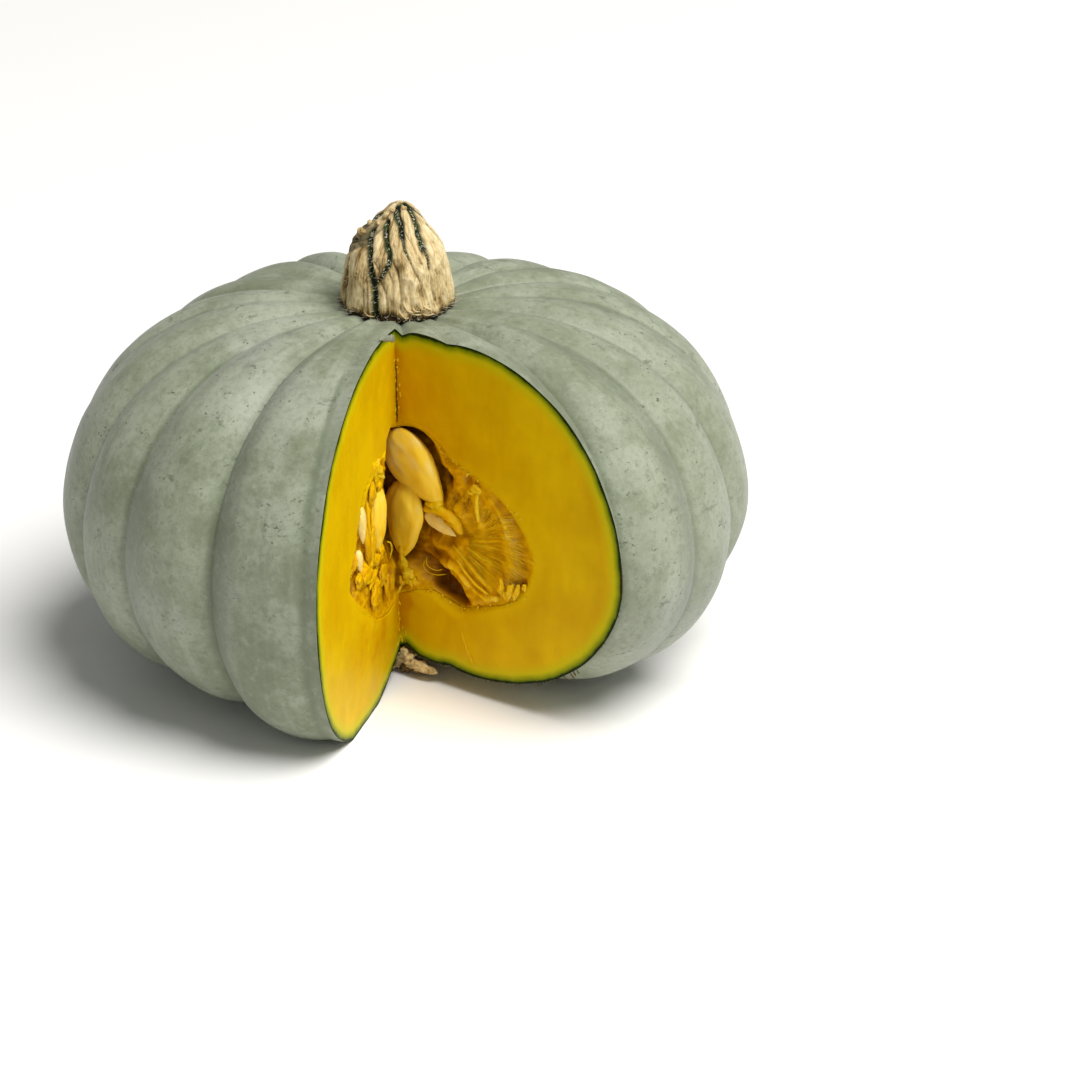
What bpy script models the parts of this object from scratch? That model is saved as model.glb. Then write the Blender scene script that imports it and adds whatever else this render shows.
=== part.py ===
# A ribbed grey-green pumpkin with a wedge cut out of its front and its seed cavity laid open.
# Metres, +Z up, front towards -Y. Azimuths are degrees from the front, positive towards +X.
# The origin is on the surface that the pumpkin rests on, under the middle of its box.
# Levels in the constants are measured from the widest part of the body.

import math
import random

import bmesh
import bpy
from mathutils import Matrix, Vector

# Body: how far it reaches from the stem's axis, and how deep and how full its underside is,
# at eleven azimuths between which the surface is blended.
SHAPE_AZIMUTHS = (-160, -120, -80, -45, -15, 12, 40, 65, 90, 120, 155)
REACH = (0.1208, 0.1170, 0.1256, 0.1228, 0.1215, 0.1270, 0.1245, 0.1284, 0.1292, 0.1304, 0.1172)
UNDERSIDE_DEPTH = (0.0690, 0.0640, 0.0672, 0.0615, 0.0686, 0.0640, 0.0615, 0.0678, 0.0600, 0.0605, 0.0700)
UNDERSIDE_FULLNESS = (3.4, 3.2, 4.6, 4.4, 7.0, 3.2, 2.2, 4.6, 2.7, 2.5, 3.2)
BLEND_WIDTH = math.radians(20.6)
UNDERSIDE_MIDDLE_DEPTH = 0.0640
UNDERSIDE_MIDDLE_SHARE = 0.35
CROWN_HEIGHT = 0.0788
CROWN_FULLNESS = 3.08
CROWN_ROUNDNESS = 0.52
FLOOR_LEVEL = -0.0625
STEM_DISH_DEPTH = 0.0067
BLOSSOM_DISH_DEPTH = 0.0165
DISH_RADIUS = 0.040
BLOSSOM_CENTRE = (0.004, -0.007)

# Grooves between the ribs: azimuth and depth, deep and shallow ones by turns.
GROOVES = (
    (-176, 0.0060), (-161, 0.0046), (-146, 0.0062), (-126, 0.0030), (-109, 0.0066),
    (-91, 0.0032), (-71, 0.0070), (-53, 0.0034), (-33, 0.0072), (-14, 0.0016),
    (5, 0.0065), (24, 0.0030), (43, 0.0068), (60, 0.0034), (77, 0.0070),
    (96, 0.0030), (114, 0.0058), (133, 0.0052), (152, 0.0062), (170, 0.0034),
)
GROOVE_SHARPNESS = 2.3
GROOVE_FADE = 0.77
NORMAL_STEP = 0.01
COLUMNS_PER_RIB = 5
BODY_ROWS = 28

# The wedge: two upright knife cuts that meet in a line just in front of the stem.
CUT_APEX_Y = -0.0290
CUT_LEFT_AZIMUTH = -15.3
CUT_RIGHT_AZIMUTH = 54.2
CUT_REACH = 0.30
CUT_MIDDLE_REACH = 0.42
CUT_TOP = 0.20
CUT_BOTTOM = -0.15

# Seed cavity, and the stringy pulp that lies in it.
CAVITY_REACH_SHARE = 0.665
CAVITY_HALF_HEIGHT = 0.0345
CAVITY_LEVEL = 0.0028
CAVITY_FULLNESS = 3.1
CAVITY_LUMP = 0.0014
CAVITY_COLUMNS = 44
CAVITY_ROWS = 16
PULP_INSET = 0.0007
PULP_TOP_SHARE = 0.80
PULP_CUT_SETBACK = 0.0045

# Seeds that show: side, metres from the apex, level and metres out of the cut, the tip's lean
# from straight down in degrees, and how far the flat side turns away from the cut.
SHOWN_SEEDS = (
    ("right", 0.0074, 0.0210, -0.0010, 46.0, 10.0),
    ("right", 0.0022, 0.0009, -0.0008, -4.0, 15.0),
    ("right", 0.0195, 0.0002, -0.0045, 60.0, -35.0),
    ("left", 0.0360, 0.0082, -0.0072, 6.0, 82.0),
    ("left", 0.0260, -0.0053, -0.0080, 10.0, 84.0),
    ("left", 0.0170, 0.0107, -0.0060, 4.0, 70.0),
)
SEED_LENGTH = 0.0290
SEED_WIDTH = 0.0165
SEED_THICKNESS = 0.0085
SEED_TIP_TAPER = 0.45
SEED_SIDES = 10
SEED_RINGS = 6

# Fan of fibres on the right cut: where it spreads from, its reach and its arc in degrees.
FAN_CENTRE = (0.0190, -0.0103)
FAN_INNER = 0.012
FAN_OUTER = 0.032
FAN_ARC = (-4.0, 62.0)
FAN_COUNT = 11
FAN_DEPTH = -0.0050
FAN_BOW = (0.0008, 0.0018)

# Loose strands on the left cut, from the apex outwards.
LOOSE_COUNT = 6
LOOSE_FIRST = 0.006
LOOSE_SPREAD = 0.028
LOOSE_TOP = (0.0177, 0.0077)
LOOSE_BOTTOM = (-0.0183, -0.0103)
LOOSE_STRAY = 0.003
LOOSE_DEPTH = -0.0052
LOOSE_BOW = (0.0010, 0.0022)
STRAND_RADIUS = 0.0013
LOOSE_RADIUS = 0.0017
STRAND_TAPER = 0.5
STRAND_SIDES = 5
STRAND_STEPS = 5
RANDOM_SEED = 7

# Stem: height and radius of its rings, its ribs, and the slant of the knife cut on top.
STEM_PROFILE = (
    (0.0000, 0.0212), (0.0022, 0.0217), (0.0060, 0.0208), (0.0120, 0.0203), (0.0180, 0.0196),
    (0.0230, 0.0176), (0.0275, 0.0140), (0.0318, 0.0098), (0.0355, 0.0064), (0.0385, 0.0034),
)
STEM_RIBS = 10
STEM_RIB_TURN = 0.7
STEM_RIB_HEIGHT = 0.0012
STEM_WARP_SHARE = 0.5
STEM_WARP_TURN = 2.0
STEM_SIDES = 40
STEM_CENTRE = (-0.0005, 0.0)
STEM_CUT_SLOPE = 0.10

# Corky scar at the blossom end.
SCAR_RADIUS = 0.0215
SCAR_LOBES = 6
SCAR_LOBE_TURN = 0.4
SCAR_LOBE_SHARE = 0.10
SCAR_THICKNESS = 0.0085
SCAR_EDGE_SHARE = 0.985
SCAR_PIT_DEPTH = 0.0035
SCAR_PIT_SHARE = 0.3
SCAR_GAP = 0.0015
SCAR_SIDES = 28
SCAR_RINGS = 5

STEM_GAP = 0.0005


def clear_scene():
    for item in list(bpy.data.objects):
        bpy.data.objects.remove(item, do_unlink=True)


def make_material(name, colour, roughness):
    material = bpy.data.materials.new(name)
    material.use_nodes = True
    shader = material.node_tree.nodes["Principled BSDF"]
    shader.inputs["Base Color"].default_value = (*colour, 1.0)
    shader.inputs["Roughness"].default_value = roughness
    shader.inputs["Metallic"].default_value = 0.0
    return material


def make_object(name, builder, material=None):
    mesh = bpy.data.meshes.new(name)
    builder.to_mesh(mesh)
    builder.free()
    if material:
        mesh.materials.append(material)
    mesh.shade_smooth()
    item = bpy.data.objects.new(name, mesh)
    bpy.context.scene.collection.objects.link(item)
    return item


def direction(azimuth):
    angle = math.radians(azimuth)
    return Vector((math.sin(angle), -math.cos(angle), 0.0))


def signed_angle(first, second):
    return (first - second + 180.0) % 360.0 - 180.0


def blend_around(values, azimuth):
    total = 0.0
    weights = 0.0
    for place, value in zip(SHAPE_AZIMUTHS, values):
        away = math.radians(signed_angle(azimuth, place)) / BLEND_WIDTH
        weight = math.exp(-away * away)
        total += weight * value
        weights += weight
    return total / weights


def groove_depth(azimuth):
    # The rib that holds this azimuth starts at the nearest groove behind it.
    index = min(range(len(GROOVES)), key=lambda place: (azimuth - GROOVES[place][0]) % 360.0)
    start, start_depth = GROOVES[index]
    end, end_depth = GROOVES[(index + 1) % len(GROOVES)]
    share = ((azimuth - start) % 360.0) / ((end - start) % 360.0)
    depth = start_depth if share < 0.5 else end_depth
    return depth * abs(2.0 * share - 1.0) ** GROOVE_SHARPNESS


def underside_depth(azimuth, share):
    # Every azimuth has the same depth at the middle, where they meet.
    own = 1.0 - math.exp(-(share / UNDERSIDE_MIDDLE_SHARE) ** 2)
    depth = blend_around(UNDERSIDE_DEPTH, azimuth)
    return UNDERSIDE_MIDDLE_DEPTH + (depth - UNDERSIDE_MIDDLE_DEPTH) * own


def blossom_dish(place):
    away = math.hypot(place.x - BLOSSOM_CENTRE[0], place.y - BLOSSOM_CENTRE[1]) / DISH_RADIUS
    return BLOSSOM_DISH_DEPTH * math.exp(-away * away)


def smooth_profile(azimuth, polar):
    share = math.sin(polar)
    reach = blend_around(REACH, azimuth) * share
    if polar <= math.pi / 2.0:
        rise = max(0.0, 1.0 - share ** CROWN_FULLNESS)
        dish = STEM_DISH_DEPTH * math.exp(-(reach / DISH_RADIUS) ** 2)
        return reach, CROWN_HEIGHT * rise ** CROWN_ROUNDNESS - dish * math.sqrt(rise)
    drop = max(0.0, 1.0 - share ** blend_around(UNDERSIDE_FULLNESS, azimuth))
    dish = blossom_dish(direction(azimuth) * reach)
    return reach, (dish - underside_depth(azimuth, share)) * math.sqrt(drop)


def body_point(azimuth, polar):
    # A groove sinks the smooth surface straight inwards, and the floor flattens its low spots.
    reach, level = smooth_profile(azimuth, polar)
    upper = smooth_profile(azimuth, max(0.0, polar - NORMAL_STEP))
    lower = smooth_profile(azimuth, min(math.pi, polar + NORMAL_STEP))
    along = Vector((lower[0] - upper[0], lower[1] - upper[1])).normalized()
    depth = groove_depth(azimuth) * math.sin(polar) ** GROOVE_FADE
    reach += depth * along.y
    level = max(level - depth * along.x, FLOOR_LEVEL)
    return direction(azimuth) * reach + Vector((0.0, 0.0, level - FLOOR_LEVEL))


def rib_azimuth(column):
    index, step = divmod(column, COLUMNS_PER_RIB)
    start = GROOVES[index % len(GROOVES)][0]
    span = (GROOVES[(index + 1) % len(GROOVES)][0] - start) % 360.0
    return start + span * step / COLUMNS_PER_RIB


def ball(columns, rows, place):
    # Each vertex of a unit ball goes to place(column, polar).
    builder = bmesh.new()
    bmesh.ops.create_uvsphere(builder, u_segments=columns, v_segments=rows, radius=1.0)
    for vertex in builder.verts:
        polar = math.acos(max(-1.0, min(1.0, vertex.co.z)))
        row = round(polar / math.pi * rows)
        turn = math.atan2(vertex.co.y, vertex.co.x) / (2.0 * math.pi)
        column = round(turn * columns) % columns
        vertex.co = place(column, math.pi * row / rows)
    bmesh.ops.triangulate(builder, faces=builder.faces[:])
    bmesh.ops.recalc_face_normals(builder, faces=builder.faces[:])
    return builder


def body_builder():
    columns = COLUMNS_PER_RIB * len(GROOVES)
    return ball(columns, BODY_ROWS, lambda column, polar: body_point(rib_azimuth(column), polar))


def lump(way):
    # A slow wave over the unit ball, the same for the cavity and for what lies in it.
    wave = math.sin(5.1 * way.x + 1.0) * math.cos(4.3 * way.y) + 0.6 * math.sin(8.0 * way.z + 6.0 * way.x)
    return CAVITY_LUMP * wave


def cavity_point(azimuth, polar, inset, top_share):
    share = math.sin(polar)
    bump = lump(direction(azimuth) * share + Vector((0.0, 0.0, math.cos(polar)))) - inset
    reach = (blend_around(REACH, azimuth) * CAVITY_REACH_SHARE + bump) * share
    height = (CAVITY_HALF_HEIGHT + bump) * max(0.0, 1.0 - share ** CAVITY_FULLNESS) ** 0.5
    level = CAVITY_LEVEL - FLOOR_LEVEL
    level += height * top_share if polar < math.pi / 2.0 else -height
    return direction(azimuth) * reach + Vector((0.0, 0.0, level))


def cavity_builder(inset=0.0, top_share=1.0):
    return ball(
        CAVITY_COLUMNS,
        CAVITY_ROWS,
        lambda column, polar: cavity_point(360.0 * column / CAVITY_COLUMNS, polar, inset, top_share),
    )


def wedge_builder(setback):
    # A prism over the wedge, its sides moved back into the fruit by setback.
    left = direction(CUT_LEFT_AZIMUTH)
    right = direction(CUT_RIGHT_AZIMUTH)
    middle = (left + right).normalized()
    half_angle = math.radians(CUT_RIGHT_AZIMUTH - CUT_LEFT_AZIMUTH) / 2.0
    apex = Vector((0.0, CUT_APEX_Y, CUT_BOTTOM)) - middle * (setback / math.sin(half_angle))
    corners = [apex, apex + left * CUT_REACH, apex + middle * CUT_MIDDLE_REACH, apex + right * CUT_REACH]
    builder = bmesh.new()
    face = builder.faces.new([builder.verts.new(corner) for corner in corners])
    grown = bmesh.ops.extrude_face_region(builder, geom=[face])
    top = [item for item in grown["geom"] if isinstance(item, bmesh.types.BMVert)]
    bmesh.ops.translate(builder, verts=top, vec=(0.0, 0.0, CUT_TOP - CUT_BOTTOM))
    bmesh.ops.recalc_face_normals(builder, faces=builder.faces[:])
    return builder


def apply_modifiers(item):
    graph = bpy.context.evaluated_depsgraph_get()
    mesh = bpy.data.meshes.new_from_object(item.evaluated_get(graph))
    item.modifiers.clear()
    item.data = mesh


def cut_away(item, builder):
    cutter = make_object("cutter", builder)
    cutter.display_type = "WIRE"
    cutter.hide_render = True
    modifier = item.modifiers.new("cut", "BOOLEAN")
    modifier.operation = "DIFFERENCE"
    modifier.solver = "EXACT"
    modifier.object = cutter
    apply_modifiers(item)
    bpy.data.objects.remove(cutter, do_unlink=True)


def make_fruit():
    fruit = make_object("fruit", body_builder(), make_material("skin", (0.30, 0.35, 0.27), 0.55))
    cut_away(fruit, wedge_builder(0.0))
    cut_away(fruit, cavity_builder())
    return fruit


def cut_ways(side):
    # Along a knife cut away from the apex, and out of the cut into the notch.
    way = direction(CUT_LEFT_AZIMUTH if side == "left" else CUT_RIGHT_AZIMUTH)
    out = Vector((-way.y, way.x, 0.0)) * (1.0 if side == "left" else -1.0)
    return way, out


def cut_place(side, along, level, out):
    way, outwards = cut_ways(side)
    return Vector((0.0, CUT_APEX_Y, level - FLOOR_LEVEL)) + way * along + outwards * out


def seed_builder():
    builder = bmesh.new()
    bmesh.ops.create_uvsphere(builder, u_segments=SEED_SIDES, v_segments=SEED_RINGS, radius=0.5)
    for vertex in builder.verts:
        narrow = 1.0 - SEED_TIP_TAPER * (vertex.co.z + 0.5) ** 2
        vertex.co.x *= SEED_WIDTH * narrow
        vertex.co.y *= SEED_THICKNESS * narrow
        vertex.co.z *= SEED_LENGTH
    bmesh.ops.triangulate(builder, faces=builder.faces[:])
    return builder


def lay_seed(centre, tip, facing):
    # The seed's length runs towards tip, and its flat side looks along facing.
    length_way = tip.normalized()
    thin_way = (facing - length_way * facing.dot(length_way)).normalized()
    wide_way = thin_way.cross(length_way).normalized()
    turn = Matrix((wide_way, thin_way, length_way)).transposed().to_4x4()
    builder = seed_builder()
    bmesh.ops.transform(builder, matrix=Matrix.Translation(centre) @ turn, verts=builder.verts)
    return make_object("seed", builder)


def shown_seeds():
    items = []
    for side, along, level, out, lean, turn in SHOWN_SEEDS:
        way, outwards = cut_ways(side)
        angle = math.radians(lean)
        tip = way * math.sin(angle) + Vector((0.0, 0.0, -math.cos(angle)))
        facing = Matrix.Rotation(math.radians(turn), 3, tip) @ outwards
        items.append(lay_seed(cut_place(side, along, level, out), tip, facing))
    return items


def join_rings(builder, rings):
    # Closes a stack of rings with side faces and two ends.
    count = len(rings[0])
    for lower, upper in zip(rings, rings[1:]):
        for side in range(count):
            after = (side + 1) % count
            builder.faces.new((lower[side], lower[after], upper[after], upper[side]))
    builder.faces.new(rings[0][::-1])
    builder.faces.new(rings[-1])
    bmesh.ops.triangulate(builder, faces=builder.faces[:])
    bmesh.ops.recalc_face_normals(builder, faces=builder.faces[:])


def make_strand(start, end, bow, radius):
    builder = bmesh.new()
    turn = (end - start).to_track_quat("Z", "Y").to_matrix().to_4x4()
    rings = []
    for step in range(STRAND_STEPS + 1):
        share = step / STRAND_STEPS
        middle = start.lerp(end, share) + bow * math.sin(math.pi * share)
        size = radius * (1.0 - STRAND_TAPER * share)
        circle = bmesh.ops.create_circle(builder, segments=STRAND_SIDES, radius=size)["verts"]
        bmesh.ops.transform(builder, matrix=Matrix.Translation(middle) @ turn, verts=circle)
        rings.append(circle)
    join_rings(builder, rings)
    return make_object("strand", builder)


def fan_strands(draw):
    items = []
    for index in range(FAN_COUNT):
        angle = math.radians(FAN_ARC[0] + (FAN_ARC[1] - FAN_ARC[0]) * index / (FAN_COUNT - 1))
        ends = []
        for reach in (FAN_INNER, FAN_OUTER * draw.uniform(0.9, 1.05)):
            along = FAN_CENTRE[0] + reach * math.cos(angle)
            level = FAN_CENTRE[1] + reach * math.sin(angle)
            ends.append(cut_place("right", along, level, FAN_DEPTH))
        bow = cut_ways("right")[1] * draw.uniform(*FAN_BOW)
        items.append(make_strand(ends[0], ends[1], bow, STRAND_RADIUS * draw.uniform(0.9, 1.2)))
    return items


def loose_strands(draw):
    items = []
    for index in range(LOOSE_COUNT):
        share = index / (LOOSE_COUNT - 1)
        along = LOOSE_FIRST + LOOSE_SPREAD * share
        top = LOOSE_TOP[0] + (LOOSE_TOP[1] - LOOSE_TOP[0]) * share
        bottom = LOOSE_BOTTOM[0] + (LOOSE_BOTTOM[1] - LOOSE_BOTTOM[0]) * share
        start = cut_place("left", along, top + draw.uniform(-LOOSE_STRAY, LOOSE_STRAY), LOOSE_DEPTH)
        along += draw.uniform(-LOOSE_STRAY, LOOSE_STRAY)
        end = cut_place("left", along, bottom + draw.uniform(-LOOSE_STRAY, LOOSE_STRAY), LOOSE_DEPTH)
        bow = cut_ways("left")[1] * draw.uniform(*LOOSE_BOW)
        items.append(make_strand(start, end, bow, LOOSE_RADIUS))
    return items


def fuse(item, pieces):
    gathered = bpy.data.collections.new("fused_pieces")
    bpy.context.scene.collection.children.link(gathered)
    for piece in pieces:
        bpy.context.scene.collection.objects.unlink(piece)
        gathered.objects.link(piece)
    modifier = item.modifiers.new("fused", "BOOLEAN")
    modifier.operation = "UNION"
    modifier.solver = "EXACT"
    modifier.operand_type = "COLLECTION"
    modifier.collection = gathered
    apply_modifiers(item)
    for piece in pieces:
        bpy.data.objects.remove(piece, do_unlink=True)
    bpy.data.collections.remove(gathered)


def make_pulp():
    draw = random.Random(RANDOM_SEED)
    material = make_material("pulp", (0.62, 0.30, 0.02), 0.50)
    pulp = make_object("pulp_with_seeds", cavity_builder(PULP_INSET, PULP_TOP_SHARE), material)
    cut_away(pulp, wedge_builder(PULP_CUT_SETBACK))
    fuse(pulp, shown_seeds() + fan_strands(draw) + loose_strands(draw))
    return pulp


def crown_level(reach):
    dish = STEM_DISH_DEPTH * math.exp(-(reach / DISH_RADIUS) ** 2)
    return CROWN_HEIGHT - dish - FLOOR_LEVEL


def stem_radius(radius, angle):
    rib = math.cos(STEM_RIBS * angle + STEM_RIB_TURN)
    rib += STEM_WARP_SHARE * math.cos(3.0 * angle + STEM_WARP_TURN)
    return radius + STEM_RIB_HEIGHT * rib * min(1.0, radius / STEM_PROFILE[0][1])


def stem_ring(builder, radius, level_at):
    ring = []
    for side in range(STEM_SIDES):
        angle = 2.0 * math.pi * side / STEM_SIDES
        reach = stem_radius(radius, angle)
        place_x = reach * math.cos(angle)
        place = (STEM_CENTRE[0] + place_x, STEM_CENTRE[1] + reach * math.sin(angle), level_at(reach, place_x))
        ring.append(builder.verts.new(place))
    return ring


def foot_level(reach, place_x):
    # The foot follows the dish that it stands in.
    return crown_level(reach) + STEM_GAP


def side_level(height):
    slope = STEM_CUT_SLOPE * height / STEM_PROFILE[-1][0]
    return lambda reach, place_x: crown_level(0.0) + STEM_GAP + height + slope * place_x


def make_stem():
    builder = bmesh.new()
    foot = STEM_PROFILE[0][1]
    rings = [stem_ring(builder, foot * 0.5, foot_level), stem_ring(builder, foot, foot_level)]
    rings += [stem_ring(builder, radius, side_level(height)) for height, radius in STEM_PROFILE[1:]]
    join_rings(builder, rings)
    return make_object("stem", builder, make_material("cork", (0.55, 0.45, 0.27), 0.80))


def underside_level(place):
    azimuth = math.degrees(math.atan2(place.x, -place.y))
    share = place.length / blend_around(REACH, azimuth)
    return blossom_dish(place) - underside_depth(azimuth, share) - FLOOR_LEVEL


def scar_place(angle, share, lower):
    lobes = 1.0 + SCAR_LOBE_SHARE * math.cos(SCAR_LOBES * angle + SCAR_LOBE_TURN) * share
    reach = SCAR_RADIUS * share * lobes
    place = Vector((*BLOSSOM_CENTRE, 0.0)) + Vector((math.cos(angle), math.sin(angle), 0.0)) * reach
    level = underside_level(place) - SCAR_GAP
    if lower:
        pit = SCAR_PIT_DEPTH * math.exp(-(share / SCAR_PIT_SHARE) ** 2)
        level -= SCAR_THICKNESS * (1.0 - share ** 4) ** 0.5 - pit
    return place + Vector((0.0, 0.0, level))


def make_scar():
    builder = bmesh.new()
    shares = [ring / SCAR_RINGS for ring in range(1, SCAR_RINGS)] + [SCAR_EDGE_SHARE]
    path = [(share, False) for share in shares] + [(share, True) for share in shares[::-1]]
    angles = [2.0 * math.pi * side / SCAR_SIDES for side in range(SCAR_SIDES)]
    rings = []
    for share, lower in path:
        rings.append([builder.verts.new(scar_place(angle, share, lower)) for angle in angles])
    join_rings(builder, rings)
    scar = make_object("blossom_scar", builder, make_material("scar", (0.42, 0.30, 0.16), 0.85))
    cut_away(scar, wedge_builder(0.0))
    return scar


def centre_on_box(items):
    # Puts the middle of the whole box over the origin, and leaves the floor at zero.
    places = [vertex.co for item in items for vertex in item.data.vertices]
    middle_x = (min(place.x for place in places) + max(place.x for place in places)) / 2.0
    middle_y = (min(place.y for place in places) + max(place.y for place in places)) / 2.0
    for item in items:
        item.data.transform(Matrix.Translation((-middle_x, -middle_y, 0.0)))


def main():
    clear_scene()
    centre_on_box([make_fruit(), make_pulp(), make_stem(), make_scar()])


main()
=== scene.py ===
# A ribbed grey-green pumpkin, cut open at the front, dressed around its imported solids.
# Metres, +Z up, front towards -Y. Azimuths are degrees from the front, positive towards +X.

import math
import random

import bmesh
import bpy
from mathutils import Matrix, Vector, noise


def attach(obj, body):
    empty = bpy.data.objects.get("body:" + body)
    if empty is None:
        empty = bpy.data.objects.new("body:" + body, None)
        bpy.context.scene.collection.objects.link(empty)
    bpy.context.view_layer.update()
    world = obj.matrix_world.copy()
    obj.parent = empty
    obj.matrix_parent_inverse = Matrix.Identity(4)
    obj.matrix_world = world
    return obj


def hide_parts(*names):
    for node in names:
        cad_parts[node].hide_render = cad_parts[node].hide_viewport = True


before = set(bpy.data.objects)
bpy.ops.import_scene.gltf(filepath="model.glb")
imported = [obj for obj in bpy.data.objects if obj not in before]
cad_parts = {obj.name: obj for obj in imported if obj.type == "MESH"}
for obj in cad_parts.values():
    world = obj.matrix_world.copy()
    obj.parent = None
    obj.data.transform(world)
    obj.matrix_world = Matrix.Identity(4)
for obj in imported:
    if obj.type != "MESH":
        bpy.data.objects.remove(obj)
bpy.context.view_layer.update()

# Rind and flesh. The fruit grew as one body: a thin waxy rind over golden flesh, in ribs that
# run from the stem to the blossom end. Two upright knife cuts took a wedge out of its front
# and laid open the seed cavity.
STEM_AXIS = Vector((-0.00265, 0.00047, 0.0))
WIDEST_LEVEL = 0.0625
UP = Vector((0.0, 0.0, 1.0))
MIDDLE = STEM_AXIS + UP * WIDEST_LEVEL
SHAPE_AZIMUTHS = (-160, -120, -80, -45, -15, 12, 40, 65, 90, 120, 155)
REACH = (0.1208, 0.1170, 0.1256, 0.1228, 0.1215, 0.1270, 0.1245, 0.1284, 0.1292, 0.1304, 0.1172)
UNDERSIDE_DEPTH = (0.0690, 0.0640, 0.0672, 0.0615, 0.0686, 0.0640, 0.0615, 0.0678, 0.0600, 0.0605, 0.0700)
UNDERSIDE_FULLNESS = (3.4, 3.2, 4.6, 4.4, 7.0, 3.2, 2.2, 4.6, 2.7, 2.5, 3.2)
BLEND_WIDTH = math.radians(20.6)
UNDERSIDE_MIDDLE_DEPTH = 0.0640
UNDERSIDE_MIDDLE_SHARE = 0.35
CROWN_HEIGHT = 0.0788
CROWN_FULLNESS = 3.08
CROWN_ROUNDNESS = 0.52
STEM_DISH_DEPTH = 0.0067
BLOSSOM_DISH_DEPTH = 0.0165
DISH_RADIUS = 0.040
BLOSSOM_CENTRE = (0.004, -0.007)
GROOVES = (
    (-176, 0.0060), (-161, 0.0046), (-146, 0.0062), (-126, 0.0030), (-109, 0.0066),
    (-91, 0.0032), (-71, 0.0070), (-53, 0.0034), (-33, 0.0072), (-14, 0.0016),
    (5, 0.0065), (24, 0.0030), (43, 0.0068), (60, 0.0034), (77, 0.0070),
    (96, 0.0030), (114, 0.0058), (133, 0.0052), (152, 0.0062), (170, 0.0034),
)
GROOVE_SHARPNESS = 2.3
GROOVE_FADE = 0.77
COLUMNS_PER_RIB = 18
BODY_ROWS = 160
SLOPE_STEP = 0.01
# Slow swells of the skin and smaller ones: how close they come and how high they are. They fade
# out towards the flat spots that the pumpkin stands on.
SKIN_SWELLS = ((26.0, 0.0007), (75.0, 0.00028))
SKIN_SINK = 0.0007
SKIN_FADE = 0.006

CUT_APEX = Vector((0.0, -0.0290, 0.0))
CUT_LEFT_AZIMUTH = -15.3
CUT_RIGHT_AZIMUTH = 54.2
WEDGE_ANGLE = CUT_RIGHT_AZIMUTH - CUT_LEFT_AZIMUTH
HUB_LEVEL = 0.0028
HUB = CUT_APEX + UP * HUB_LEVEL
SIDES = ("left", "right")
# How near a knife plane a vertex is taken to lie on it, how near the apex line it isn't moved, and
# how far from that line the torn edges are at their full depth.
ON_CUT = 0.00003
AT_APEX = 0.0003
APEX_FADE = 0.006
# Vertices nearer than this are merged.
SAME_PLACE = 0.00002
# The knife cuts the faces this near to its plane, from just behind the apex, and takes vertices
# that nearly lie on the plane onto it.
KNIFE_ASIDE = 0.01
KNIFE_PAST_APEX = 0.004
KNIFE_SNAP = 0.00012

# Outlines of the opened cavity on the two cuts: metres from the apex and level.
RIGHT_OUTLINE = (
    (0.0, 0.0365), (0.009, 0.0355), (0.015, 0.033), (0.022, 0.0275), (0.029, 0.026), (0.036, 0.024),
    (0.0425, 0.0213), (0.0506, 0.016), (0.0574, 0.0078), (0.0608, -0.0005), (0.0605, -0.006),
    (0.058, -0.013), (0.054, -0.0185), (0.047, -0.0225), (0.040, -0.025), (0.0347, -0.027),
    (0.0285, -0.0295), (0.021, -0.0278), (0.015, -0.0255), (0.008, -0.0265), (0.0, -0.030),
)
LEFT_OUTLINE = (
    (0.0, 0.0365), (0.0052, 0.0369), (0.0104, 0.0345), (0.0145, 0.0316), (0.0183, 0.0298),
    (0.0278, 0.0318), (0.0336, 0.0278), (0.039, 0.0255), (0.044, 0.019), (0.0484, 0.009),
    (0.0545, 0.0040), (0.0568, -0.0035), (0.0525, -0.0105), (0.0474, -0.0155), (0.038, -0.0215),
    (0.0288, -0.0277), (0.020, -0.031), (0.0107, -0.0325), (0.0, -0.030),
)
# How the flesh rolls down to the pulp round the cavity, on each cut: degrees above level about the
# hub, depth and width of the roll.
RIM_ROLLS = {
    "right": (
        (90, 0.0026, 0.0025), (72, 0.0040, 0.0055), (52, 0.0034, 0.0050), (38, 0.0012, 0.0022),
        (24, 0.0004, 0.0008), (-18, 0.0004, 0.0007), (-31, 0.0008, 0.0014), (-41, 0.0022, 0.0030),
        (-54, 0.0030, 0.0052), (-64, 0.0014, 0.0030), (-74, 0.0005, 0.0012), (-90, 0.0005, 0.0010),
    ),
    "left": (
        (90, 0.0022, 0.0020), (70, 0.0016, 0.0016), (48, 0.0007, 0.0010), (30, 0.0009, 0.0010),
        (0, 0.0007, 0.0008), (-45, 0.0004, 0.0008), (-90, 0.0005, 0.0010),
    ),
}
ROLL_REACH_INWARDS = 0.008
CAVITY_BACK_REACH = 0.082
CAVITY_BACK_HALF_HEIGHT = 0.0330
CAVITY_BACK_WIDENING = 0.30
CAVITY_SQUARENESS = 4
CAVITY_BLEND = 0.10
CAVITY_WEDGE_COLUMNS = 8
CAVITY_BACK_COLUMNS = 72
CAVITY_ROWS = 100
FLESH_LAYERS = 40
FLESH_GAP = 0.0002
LINING_REACH = 0.04
# How near a cut the flesh is taken to belong to it, also where its waves stand out.
FLESH_REACH = 0.0006
# Where painted shade darkens the flanks of the ribs, as shares of a rib's width, on the left and the right.
SHADED_FLANKS = (0.16, 0.84)
FLANK_WIDTH = 0.15
# The skin has no creases this near its axis, and they are at their full depth this far beyond.
UNCREASED_RADIUS = 0.030
CREASE_FADE = 0.040


def direction(azimuth):
    angle = math.radians(azimuth)
    return Vector((math.sin(angle), -math.cos(angle), 0.0))


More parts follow.
